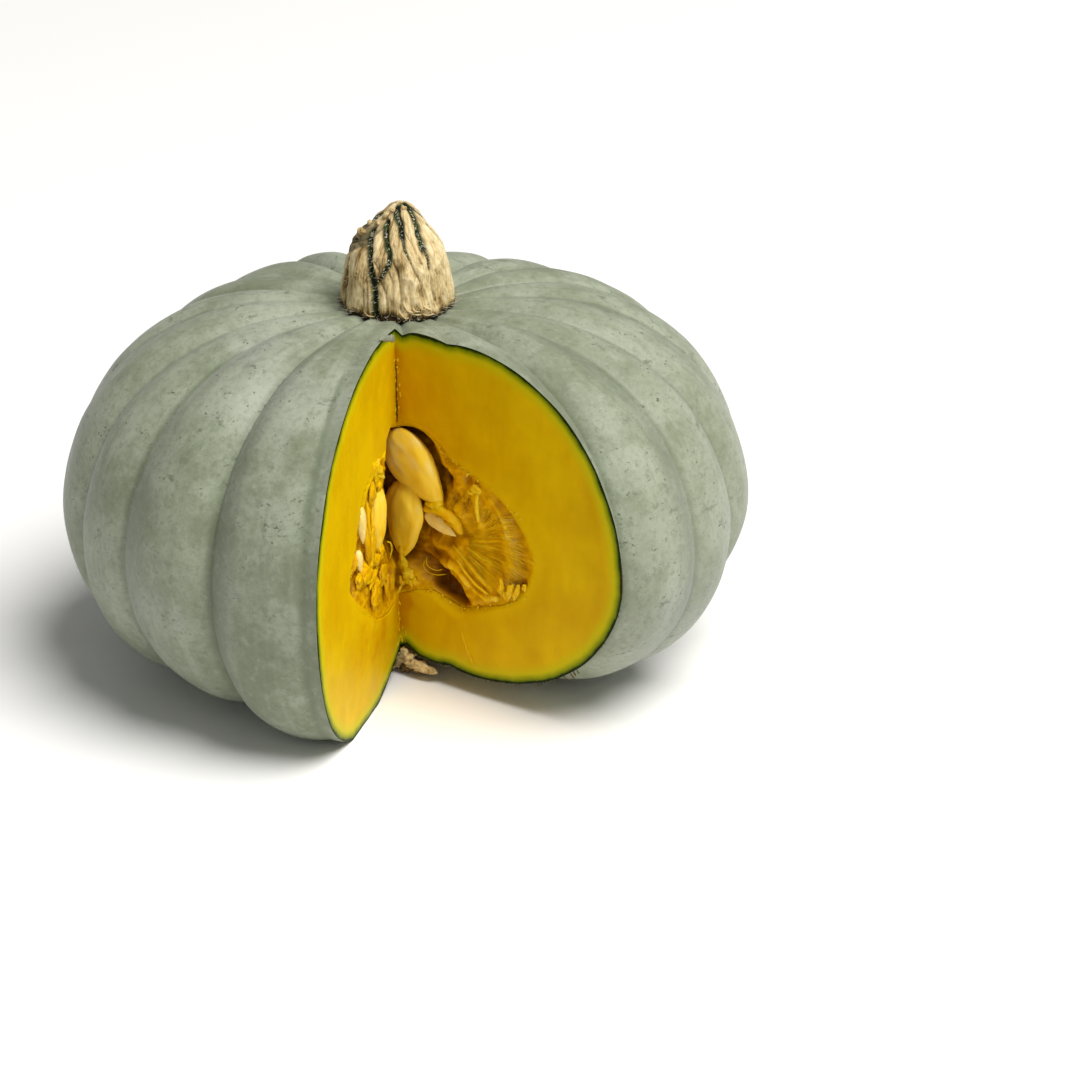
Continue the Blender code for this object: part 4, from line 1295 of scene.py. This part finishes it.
# Furrows and splits in the cork, in millimetres and degrees: width at the top and at the bottom,
# depth, how green they are, and a line of azimuths and heights.
FURROWS = (
    (1.3, 1.1, 1.2, 0.9, ((-88, 22.0), (-82, 19.2), (-70, 14.2), (-69, 8.5), (-70, -1.0))),
    (0.5, 0.5, 0.8, 0.2, ((-64, 13.8), (-57, 10.2), (-56, 6.2))),
    (2.4, 2.2, 2.2, 1.0, (
        (-54, 28.0), (-47, 26.2), (-35, 22.2), (-29, 16.5), (-24, 12.2), (-22, 8.0), (-21, 1.0),
    )),
    (2.1, 1.0, 1.9, 1.0, (
        (-28, 31.8), (-15, 27.0), (-7, 23.0), (-7, 19.8), (-11, 17.8), (-17, 14.5), (-23, 12.5),
    )),
    (2.7, 1.8, 2.0, 1.0, ((-14, 35.8), (-7, 34.2), (7, 32.0), (13, 27.8))),
    (1.5, 0.5, 1.3, 0.9, ((13, 27.8), (13, 24.5), (17, 21.2))),
    (0.5, 0.4, 1.0, 0.4, ((17, 21.2), (22, 17.0), (28, 12.8), (29, 7.5))),
    (3.0, 2.2, 2.0, 1.0, ((52, 36.6), (51, 31.8), (45, 26.8), (41, 23.5))),
    (1.4, 0.6, 1.3, 0.9, ((41, 23.5), (43, 20.0), (42, 16.5))),
    (0.5, 0.5, 0.9, 0.5, ((42, 16.5), (42, 11.2), (43, 5.2))),
    (1.3, 1.0, 1.0, 0.9, ((63, 37.0), (83, 33.5), (94, 28.5), (94, 24.0), (89, 19.5), (83, 14.5))),
    (0.7, 0.4, 1.1, 0.4, ((-5, 22.5), (-3, 21.2), (3, 17.2), (5, 13.0), (6, 8.5), (5, 3.8))),
    (0.4, 0.5, 0.8, 0.3, ((-17, 14.5), (-10, 9.8), (-8, 5.8), (-9, 1.8))),
    (0.4, 0.4, 0.8, 0.1, ((-7, 17.2), (-3, 13.5), (-3, 9.5), (-3, 1.0))),
    (0.4, 0.3, 0.7, 0.0, ((50, 29.0), (56, 26.8), (59, 24.0), (60, 21.0))),
    (0.4, 0.4, 0.7, 0.1, ((-36, 10.0), (-36, 7.2), (-35, 4.5), (-37, -1.0))),
    (0.4, 0.5, 0.7, 0.1, ((-40, 22.0), (-35, 16.2), (-31, 9.2), (-29, 0.0))),
    (0.5, 0.4, 0.8, 0.0, ((16, 29.8), (25, 26.0), (28, 22.5), (31, 19.0))),
    (0.4, 0.3, 0.7, 0.0, ((-25, 20.2), (-19, 17.5), (-17, 15.2))),
    (0.4, 0.4, 0.6, 0.0, ((14, 12.0), (15, 7.0), (17, 2.0))),
    (0.4, 0.4, 0.7, 0.0, ((66, 16.0), (68, 9.0), (67, 0.0))),
    (0.4, 0.4, 0.6, 0.0, ((54, 14.0), (56, 6.0), (55, 0.0))),
    (1.6, 1.0, 1.4, 0.9, ((116, 34.0), (108, 27.0), (103, 16.0), (100, 4.0))),
    (2.4, 1.8, 1.9, 1.0, ((150, 35.0), (138, 28.0), (130, 17.0), (128, 8.0), (124, -1.0))),
    (2.2, 1.2, 1.8, 1.0, ((178, 35.0), (168, 28.0), (160, 18.0), (158, 6.0))),
    (0.5, 0.5, 0.8, 0.2, ((182, 20.0), (184, 8.0), (183, -1.0))),
    (2.4, 1.4, 1.9, 1.0, ((216, 34.0), (206, 27.0), (200, 16.0), (196, 4.0))),
    (2.0, 1.4, 1.7, 1.0, ((244, 32.0), (238, 26.0), (232, 15.0), (230, 2.0))),
    (1.2, 0.8, 1.2, 0.9, ((264, 26.0), (260, 17.0), (256, 6.0))),
)
# A furrow counts this many degrees to each side of its middle, and a place with none nearer is
# taken to be this many millimetres clear of them.
FURROW_SPAN = 52.0
FURROW_CLEAR = 9.0


def along_steps(steps, height):
    for (low, first), (high, second) in zip(steps, steps[1:]):
        if low <= height <= high:
            return first + (second - first) * (height - low) / (high - low)
    return steps[-1][1]


def furrow_at(azimuth, height, radius):
    # Depth of the furrows here in millimetres, how green the place is, and how far it lies from
    # the nearest furrow or split.
    depth = 0.0
    green = 0.0
    clear = FURROW_CLEAR
    for wide_top, wide_foot, deep, greenness, line in FURROWS:
        if abs(degrees_between(azimuth, line[len(line) // 2][0])) > FURROW_SPAN:
            continue
        nearest = FURROW_CLEAR
        where = 0.0
        places = [(math.radians(degrees_between(place, azimuth)) * radius, level) for place, level in line]
        for index, ((start, low), (end, high)) in enumerate(zip(places, places[1:])):
            across = end - start
            up = high - low
            share = clamp(-(start * across + (low - height) * up) / (across ** 2 + up ** 2))
            away = math.hypot(start + across * share, low - height + up * share)
            if away < nearest:
                nearest = away
                where = (index + share) / (len(line) - 1)
        edge = noise.noise(Vector((azimuth * 0.16, height * 0.55, deep))) * 0.3
        width = (wide_top + (wide_foot - wide_top) * where) * (0.58 + 0.4 * edge)
        depth = max(depth, deep / (1.0 + (nearest / width) ** 5))
        green = max(green, greenness / (1.0 + (nearest / (width * 1.08)) ** 9))
        clear = min(clear, max(0.0, nearest - width * 0.8))
    return depth, green, clear


def stem_surface(azimuth, height):
    # Radius in millimetres, cork tone, greenness and how much painted shade of the slanted cut lies here.
    angle = math.radians(azimuth)
    east, north = math.sin(angle) * 6.0, math.cos(angle) * 6.0
    swirl = Vector((east, north, height * 0.12))

    def grain(closeness, rise, start=0.0):
        # Uneven cork that runs up the stem, between -1 and 1.
        return noise.noise(Vector((east * closeness, north * closeness, height * rise + start)))

    radius = along_steps(STEM_PROFILE, height) * (1.0 + STEM_DEEPER * math.cos(angle) ** 2)
    ragged = noise.noise(swirl * 0.6 + Vector((7.0, 0.0, 0.0))) * 1.6
    toward = math.cos(math.radians(azimuth - SLANT_AZIMUTH))
    slant = 0.0
    if toward > SLANT_FACING:
        if height > SLANT_LOWEST:
            jagged = clamp(height + ragged * 0.7, SLANT_LOWEST, STEM_TOP)
            radius = min(radius, max(1.2, along_steps(SLANT_STEPS, jagged) / toward))
        # the slanted cut is painted dark as shade, from its ragged edge up to a height below the top
        edge = SLANT_EDGE + SLANT_RISE * (1.0 - math.cos(math.radians(azimuth + 100.0))) + ragged * 0.6
        slant = clamp((height - edge) / 0.9) * clamp((SLANT_SHADE_UP_TO - height) / 3.0)
    depth, green, clear = furrow_at(azimuth, height, radius)
    band = 1.0 - bell(clear / 2.4)
    lumps = ripple(swirl, (0.8, 0.5), (2.0, 0.35))
    crack = max(0.0, 1.0 - abs(grain(1.3, 0.07, 4.0)) / CRACK_WIDTH) * band
    flake = max(0.0, 1.0 - abs(grain(3.4, 0.13, 9.0)) / FLAKE_WIDTH)
    fade = clamp((STEM_TOP - height) / TOP_FADE) * 0.6 + 0.4
    foot = max(0.0, 1.0 - (height + 0.4) / FRAYED_FOOT)
    cork = lumps + band * 0.9 - 0.5 - crack * CRACK_DEPTH - flake * FLAKE_DEPTH
    radius += cork * fade * (1.0 - 0.6 * green) - depth * fade
    radius += clamp((height - KNOBBLY_FROM) / TOP_FADE) * grain(0.9, 0.35) * 1.1
    radius += foot * (ripple(swirl, (3.0, 0.7), (7.0, 0.4)) + 0.3)
    tone = 0.62 + lumps * 0.10 + band * 0.12 - crack * 0.30 - flake * 0.12
    tone += ripple(swirl, (3.0, 0.08), (6.0, 0.10)) + 0.10 * grain(1.8, 0.30)
    tone -= 0.24 * max(0.0, grain(0.6, 0.10, 2.0) * 2.4 - 0.1)
    # darker towards the foot: partly the foot's own brown, partly painted shade where the stem sinks into its
    # dish
    tone -= 0.38 * foot ** 1.3 + 0.30 * max(0.0, 1.0 - (height + 0.4) / 5.0) ** 1.2
    return radius, tone, green, slant


def stem_place(turn, radius, height):
    # A place about the stem's axis, whose foot spreads into the dish of the crown.
    dish = STEM_DISH_DEPTH * bell(radius * MILLIMETRE / DISH_RADIUS) / MILLIMETRE
    risen = clamp(height / STEM_SPREAD)
    level = CROWN_HEIGHT / MILLIMETRE + height - dish * (1.0 - risen) - STEM_SINK * risen
    lean = LEAN_STEP * max(0.0, height - LEAN_START)
    return Vector((radius * math.cos(turn) + lean, radius * math.sin(turn), level)) * MILLIMETRE + MIDDLE


def build_stem():
    builder = make_ball(STEM_COLUMNS, STEM_ROWS)
    layers = [new_value(builder, name) for name in ("tone", "green", "slant")]
    growth_layer = builder.verts.layers.float_vector.new("growth")
    for vertex in builder.verts:
        share = round(polar_of(vertex) / math.pi * STEM_ROWS) / STEM_ROWS
        turn = math.atan2(vertex.co.y, vertex.co.x)
        down = clamp((share - STEM_CAP) / (1.0 - 2.0 * STEM_CAP))
        height = STEM_TOP + (STEM_FOOT - STEM_TOP) * down
        radius, *values = stem_surface(math.degrees(turn) + 90.0, height)
        radius *= min(1.0, share / STEM_CAP, (1.0 - share) / STEM_CAP)
        if share < STEM_CAP:
            crown = Vector((radius * math.cos(turn), radius * math.sin(turn), 4.0))
            height += 0.5 * noise.noise(crown * 0.5)
        vertex.co = stem_place(turn, radius, height)
        vertex[growth_layer] = Vector((math.cos(turn), math.sin(turn), height / 100.0))
        for layer, value in zip(layers, values):
            vertex[layer] = value
    return face_outwards(builder)


def make_cork_finish():
    finish = Finish("corky_stem", 0.78)
    growth = finish.attribute("growth", "Vector")
    tone = finish.vary(finish.attribute("tone"), 0.80, 34.0, 4.0, 0.65, growth, (1.0, 1.0, 0.8))
    cork = finish.ramp(
        tone, (0.10, (58, 44, 26)), (0.34, (142, 116, 72)), (0.52, (200, 174, 122)),
        (0.70, (232, 210, 160)), (0.92, (246, 232, 194)))
    # the painted shade on the slanted cut, dark grey-brown, and the green of the furrows
    slant_shade = finish.mix(finish.patches(420.0, 3.0, 0.55, 0.40, 0.62), tint(66, 64, 44), tint(128, 114, 80))
    cork = finish.mix(finish.times(finish.attribute("slant"), 0.88), cork, slant_shade)
    furrow = finish.mix(finish.patches(520.0, 3.0, 0.55, 0.42, 0.60), tint(18, 30, 18), tint(56, 70, 30))
    finish.coat(finish.mix(finish.attribute("green"), cork, furrow))
    finish.lay(finish.patches(380.0, 5.0, 0.72, 0.54, 0.66, 0.0, 0.45, stretch=(1.0, 1.0, 0.35)), 104, 82, 50)
    finish.bump(finish.speckle(30.0, 4.0, 0.65, growth, (1.0, 1.0, 0.6)), 0.40, 0.0009)
    finish.bump(finish.speckle(700.0, 3.0, 0.6), 0.35, 0.0003)
    finish.settle({"Specular IOR Level": 0.25})
    return finish.material


cork_material = make_cork_finish()
stem = finish_mesh("corky_stem", build_stem(), cork_material)
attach(stem, "root")
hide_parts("stem")

# Curls and stubs of cork. Strips of cork curl at the stem's foot, and the slanting cut left
# jagged stubs standing. Strips: width in millimetres, tone, azimuths, heights and outs.
CURLS = (
    (0.30, 0.62, ((8, 6.4, 0.0), (10, 4.6, 0.3), (13, 3.2, 0.5), (18, 2.6, 0.2))),
    (0.26, 0.70, ((12, 3.2, 0.3), (17, 1.9, 0.8), (21, 1.6, 0.8), (26, 1.6, 0.3))),
    (0.30, 0.56, ((21, 6.0, 0.0), (23, 4.6, 0.4), (26, 3.4, 0.6), (31, 3.0, 0.2))),
    (0.24, 0.70, ((28, 4.6, 0.2), (31, 3.6, 0.6), (36, 2.6, 0.3))),
    (0.22, 0.60, ((4, 3.0, 0.2), (8, 1.2, 0.6), (13, 0.6, 0.4))),
    (0.24, 0.66, ((26, 1.8, 0.2), (31, 1.0, 0.7), (38, 1.0, 0.3))),
    (0.20, 0.66, ((17, 4.4, 0.1), (19, 3.2, 0.6), (23, 2.8, 0.5), (26, 3.6, 0.1))),
    (0.24, 0.52, ((-34, 2.4, 0.2), (-28, 0.8, 0.6), (-22, 0.4, 0.4))),
)

# Stubs: azimuth, height, out, half sizes across, up and out, and tone.
STUBS = (
    (-92, 25.4, 0.3, 1.7, 2.1, 1.3, 0.50),
    (-70, 27.6, 0.2, 1.2, 1.3, 1.0, 0.44),
    (-98, 29.0, 0.2, 1.3, 1.2, 1.0, 0.58),
    (-60, 31.0, 0.1, 1.5, 1.1, 0.9, 0.52),
    (-96, 33.2, 0.2, 1.2, 1.5, 0.9, 0.40),
    (-50, 34.0, 0.2, 1.4, 1.0, 0.9, 0.62),
    (-40, 35.6, 0.0, 1.2, 0.9, 0.8, 0.54),
    (20, 36.2, -0.2, 1.1, 0.9, 0.8, 0.48),
)
STUB_NUMBER = 400


def on_stem(azimuth, height, out):
    return stem_place(math.radians(azimuth - 90.0), stem_surface(azimuth, height)[0] + out, height)


def build_curls():
    gather = start_gathering()
    for width, tone, line in CURLS:
        add_string(gather, [on_stem(*place) for place in line], width, tone, 8, 20, 0.5)
    for number, (azimuth, height, out, across, tall, thick, tone) in enumerate(STUBS):
        outwards = direction(azimuth)
        ways = (UP.cross(outwards), UP, outwards)
        place = on_stem(azimuth, height, out)
        add_shred(gather, place, ways, (across, tall, thick), tone, number + STUB_NUMBER)
    return gather


curls = finish_mesh("curls_of_cork", build_curls(), cork_material)
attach(curls, "root")
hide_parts("stem")

# Hairs of the stem. Pale bristles and crumbs stand in its green furrows, and a fringe of fine
# hairs grows from the edge of its foot.
BRISTLED_GREEN = 0.75
BRISTLES_PER_SQUARE = 1.5
FRINGE_HAIRS = 260


def add_hair(gather, draw, places, thin, thick, dull, light):
    line = [on_stem(*place) for place in places]
    add_string(gather, line, draw.uniform(thin, thick), draw.uniform(dull, light), 4, 5, 0.1)


def build_hairs(draw):
    gather = start_gathering()
    for top_width, foot_width, deep, greenness, line in FURROWS:
        if greenness < BRISTLED_GREEN:
            continue
        width = (top_width + foot_width) / 2.0
        length = 0.0
        for (first, low), (second, high) in zip(line, line[1:]):
            length += math.hypot((second - first) * 0.3, high - low)
        for count in range(int(length * width * BRISTLES_PER_SQUARE)):
            share = draw.random() * (len(line) - 1)
            index = min(int(share), len(line) - 2)
            (first, low), (second, high) = line[index:index + 2]
            azimuth = first + (second - first) * (share - index) + draw.uniform(-1.0, 1.0) * width * 2.0
            height = low + (high - low) * (share - index)
            if height < 0.0 or height > STEM_TOP - 1.5:
                continue
            long = draw.uniform(0.1, 0.7)
            bend = draw.uniform(-1.8, 1.8)
            rise = draw.uniform(-0.5, 0.5)
            add_hair(gather, draw, (
                (azimuth, height, -0.1),
                (azimuth + bend * 0.4, height + rise * 0.5, 0.25 + long * 0.35),
                (azimuth + bend, height + rise, 0.35 + long * 0.4),
            ), 0.05, 0.16, 0.35, 1.0)
    for index in range(FRINGE_HAIRS):
        azimuth = index * 360.0 / FRINGE_HAIRS + draw.uniform(-1.5, 1.5)
        height = draw.uniform(-0.6, 2.0)
        long = draw.uniform(0.8, 3.2)
        side = draw.uniform(-5.0, 5.0)
        drop = draw.uniform(-0.8, 0.7)
        add_hair(gather, draw, (
            (azimuth, height, -0.2),
            (azimuth + side * 0.5, height + drop * 0.3, long * 0.5),
            (azimuth + side, max(-0.3, height + drop), long),
        ), 0.035, 0.075, 0.2, 0.8)
    return gather


def make_two_tone_finish(name, roughness, dark, light):
    # A dry finish between two colours by the tone of each strand.
    finish = Finish(name, roughness, dark)
    finish.lay(finish.attribute("tone"), *light)
    return finish.material


hair_material = make_two_tone_finish("pale_hairs", 0.6, (150, 132, 92), (226, 226, 206))
hairs = finish_mesh("hairs_of_the_stem", build_hairs(random.Random(5)), hair_material)
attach(hairs, "root")
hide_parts("stem")

# Blossom scar. A rough corky pad where the blossom fell off, cut through by the wedge, with a small pit in
# it, whose shadow is painted on two dark knobs below.
SCAR_RADIUS = 0.0212
SCAR_LOBES = 6
SCAR_LOBE_TURN = 0.4
SCAR_LOBE_SHARE = 0.10
SCAR_THICKNESS = 0.0080
SCAR_GAP = 0.0016
SCAR_COLUMNS = 180
SCAR_ROWS = 110
SCAR_EDGE_THICKNESS = 0.0006
SCAR_FOOT_GAP = 0.0033


def build_scar():
    builder = make_ball(SCAR_COLUMNS, SCAR_ROWS)
    tone_layer = new_value(builder, "tone")
    centre = Vector((*BLOSSOM_CENTRE, 0.0))
    for vertex in builder.verts:
        turn = math.atan2(vertex.co.y, vertex.co.x)
        lobe = 1.0 + SCAR_LOBE_SHARE * math.cos(SCAR_LOBES * turn + SCAR_LOBE_TURN)
        share = min(1.0, math.sin(polar_of(vertex)) ** 0.8)
        place = centre + Vector((math.cos(turn), math.sin(turn), 0.0)) * (SCAR_RADIUS * lobe * share)
        azimuth = math.degrees(math.atan2(place.x, -place.y))
        out_share = place.length / blend_around(REACH, azimuth)
        level = blossom_end(place, out_share, blend_around(UNDERSIDE_DEPTH, azimuth)) - SCAR_GAP
        if vertex.co.z <= 0.0:
            lump = noise.noise(place * 330.0) * 0.0016 + abs(noise.noise(place * 700.0)) * 0.0012
            level -= SCAR_THICKNESS * (1.0 - share ** 6) ** 0.5 + SCAR_EDGE_THICKNESS - lump
            level = max(level, SCAR_FOOT_GAP - WIDEST_LEVEL)
        place.z = level
        vertex.co = place + MIDDLE
        vertex[tone_layer] = 0.55 + ripple(place, (420.0, 0.4))
    return face_outwards(builder)


def make_scar_finish():
    finish = Finish("scar_cork", 0.85, (130, 102, 54))
    tone = finish.vary(finish.attribute("tone"), 0.7, 600.0, 4.0, 0.65)
    finish.lay(finish.span(tone, 0.25, 0.85), 228, 200, 142)
    finish.bump(finish.speckle(500.0, 4.0, 0.65), 0.7, 0.0008)
    finish.settle({"Specular IOR Level": 0.25})
    return finish.material


scar_material = make_scar_finish()
scar = finish_mesh("blossom_scar_cork", build_scar(), scar_material)
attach(scar, "root")
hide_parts("blossom_scar")

# Knobs of the cut cork under the notch, on the right cut, in millimetres and degrees: along, level, out, half
# sizes along, up and out, lean, tone. The last two are painted shadow: dark knobs set in the scar's pit.
SCAR_KNOBS = (
    (2.8, -55.2, 0.2, 3.8, 2.4, 2.4, 4, 0.66),
    (5.4, -57.0, 0.3, 2.8, 1.9, 2.0, -20, 0.60),
    (9.2, -57.4, 0.2, 3.8, 1.9, 2.0, -8, 0.70),
    (13.0, -57.9, 0.0, 3.0, 1.5, 1.6, 4, 0.62),
    (-0.6, -57.6, 0.2, 1.7, 2.4, 1.8, -18, 0.58),
    (-2.6, -60.2, 0.2, 2.2, 1.1, 1.6, 24, 0.66),
    # painted shadow of the pit: two dark knobs
    (1.8, -60.4, -0.6, 2.0, 1.6, 1.0, 0, -0.80),
    (6.0, -60.2, -1.2, 3.0, 1.2, 1.0, 0, -0.60),
)
KNOB_NUMBER = 40
knobs_builder = start_gathering()
add_leaning_shreds(knobs_builder, [("right", *knob) for knob in SCAR_KNOBS], KNOB_NUMBER, 4)
knobs = finish_mesh("knobs_of_the_scar", knobs_builder, scar_material)
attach(knobs, "root")
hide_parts("blossom_scar")

# Frayed rind. Where the knife came out of the rind it left tufts of dry brown fibres and a few
# splinters along the lower edge of the right cut.
FRAY_TOP = 20.0
TUFTS = 30
# Angles in degrees from level, seen from the apex line, where the long splinters stand.
SPLINTER_ANGLES = (-38.0, -30.5, -28.0, -26.6, -26.0)


def angle_of(place):
    return math.atan2(place[1], place[0])


def rind_line():
    # Places along and level, in millimetres, where the rind meets the right cut, going down.
    skin, flesh = (
        {corner for face in fruit.data.polygons if face.material_index == index for corner in face.vertices}
        for index in (0, 1))
    line = []
    for corner in skin & flesh:
        place = fruit.data.vertices[corner].co - MIDDLE
        if on_knife_plane(place, "right", 0.012, FLESH_REACH):
            along = (place - CUT_APEX).dot(CUT_WAYS["right"][0])
            line.append((along / MILLIMETRE, place.z / MILLIMETRE))
    line.sort(key=lambda place: -angle_of(place))
    return [place for place in line if place[1] < FRAY_TOP]


def add_fibre(gather, start, turn, long, wide, tone):
    points = []
    for share, out in ((0.0, -0.25), (0.5, 0.3), (1.0, 0.4)):
        along = start[0] + math.cos(turn) * long * share
        points.append(on_cut("right", along, start[1] + math.sin(turn) * long * share, out))
    add_string(gather, points, wide, tone, 4, 5, 0.1)


def build_fray(draw):
    gather = start_gathering()
    line = rind_line()
    last = len(line) - 1
    for tuft in range(TUFTS):
        middle = draw.random() * last
        for number in range(draw.randint(2, 8)):
            start = line[int(clamp(middle + draw.gauss(0.0, 1.5), 0.0, last))]
            turn = angle_of(start) + draw.choice((-1.0, 1.0)) * draw.uniform(0.5, 1.5)
            long, wide = draw.uniform(0.2, 1.2), draw.uniform(0.05, 0.11)
            add_fibre(gather, start, turn, long, wide, draw.uniform(0.0, 0.8))
    # the long splinters lie nearly along the edge, under the flesh
    for angle in SPLINTER_ANGLES:
        start = min(line, key=lambda place: abs(math.degrees(angle_of(place)) - angle))
        turn = math.radians(draw.uniform(-40.0, -14.0))
        long, wide = draw.uniform(1.6, 3.4), draw.uniform(0.22, 0.34)
        add_fibre(gather, start, turn, long, wide, draw.uniform(0.1, 0.5))
    return gather


fray_material = make_two_tone_finish("dry_rind", 0.8, (60, 46, 24), (142, 128, 88))
fray = finish_mesh("frayed_rind", build_fray(random.Random(23)), fray_material)
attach(fray, "root")
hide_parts("fruit")

# Tongue of rind. A thin tongue of pale rind bends over the top of the left cut, where the two
# cuts met. Its lumps, in millimetres and degrees: along, level, out, half sizes along, up and
# out, lean and tone.
TONGUE = (
    (12.5, 74.0, 0.0, 4.2, 0.9, 0.5, 20, 0.5),
    (8.0, 72.6, 0.0, 4.2, 1.2, 0.5, 20, 0.5),
    (3.6, 71.0, 0.0, 3.4, 1.4, 0.5, 20, 0.5),
)
TONGUE_NUMBER = 3
tongue_builder = start_gathering()
for lump in TONGUE:
    add_leaning_shreds(tongue_builder, [("left", *lump)], TONGUE_NUMBER)
tongue = finish_mesh("tongue_of_rind", tongue_builder, rind_material)
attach(tongue, "root")
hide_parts("fruit")

# Studio. A white floor, one large soft light high above on the right, a weak fill from the front,
# and the camera at the photograph's angle, 24 degrees above level.
FLOOR_SIZE = 14.0
LIGHT_TARGET = Vector((0.0, 0.0, 0.06))
WORLD_STRENGTH = 0.195
WHITE = (1.0, 1.0, 1.0)
CAMERA_TILT = math.radians(24.0)
CAMERA_AWAY = 1.300
CAMERA_ASIDE = -0.05164
CAMERA_RAISE = 0.01985
PIXELS_PER_METRE = 2690.0
PIXELS_ACROSS = 1080.0
SENSOR_WIDTH = 36.0

floor_builder = bmesh.new()
bmesh.ops.create_grid(floor_builder, x_segments=1, y_segments=1, size=FLOOR_SIZE)
floor_finish = Finish("white_floor", 0.85)
floor_finish.settle({"Base Color": (0.98, 0.98, 0.98, 1.0), "Specular IOR Level": 0.1})
floor = finish_mesh("floor", floor_builder, floor_finish.material)


def add_light(name, azimuth, elevation, away, size, power, colour):
    # A round soft light, its azimuth from the front and positive towards +X.
    lamp = bpy.data.lights.new(name, "AREA")
    lamp.shape = "DISK"
    lamp.size = size
    lamp.energy = power
    lamp.color = colour
    item = bpy.data.objects.new(name, lamp)
    rise = math.radians(elevation)
    item.location = (direction(azimuth) * math.cos(rise) + UP * math.sin(rise)) * away
    item.rotation_euler = (LIGHT_TARGET - item.location).to_track_quat("-Z", "Y").to_euler()
    bpy.context.scene.collection.objects.link(item)


add_light("key_light", 60.0, 63.0, 5.2, 3.6, 330.0, (1.0, 0.985, 0.955))
add_light("front_fill", 4.0, 22.0, 2.6, 1.6, 1.0, WHITE)

world = bpy.data.worlds.new("studio")
world.use_nodes = True
world.node_tree.nodes["Background"].inputs["Color"].default_value = (*WHITE, 1.0)
world.node_tree.nodes["Background"].inputs["Strength"].default_value = WORLD_STRENGTH
bpy.context.scene.world = world
bpy.context.scene.view_settings.view_transform = "Standard"

camera_data = bpy.data.cameras.new("camera")
camera_data.sensor_width = SENSOR_WIDTH
camera_data.lens = SENSOR_WIDTH * PIXELS_PER_METRE * CAMERA_AWAY / PIXELS_ACROSS
camera = bpy.data.objects.new("camera", camera_data)
camera.location = MIDDLE + Vector((
    -CAMERA_ASIDE,
    -CAMERA_AWAY * math.cos(CAMERA_TILT) - CAMERA_RAISE * math.sin(CAMERA_TILT),
    CAMERA_AWAY * math.sin(CAMERA_TILT) - CAMERA_RAISE * math.cos(CAMERA_TILT),
))
camera.rotation_euler = (math.pi / 2.0 - CAMERA_TILT, 0.0, 0.0)
bpy.context.scene.collection.objects.link(camera)
bpy.context.scene.camera = camera
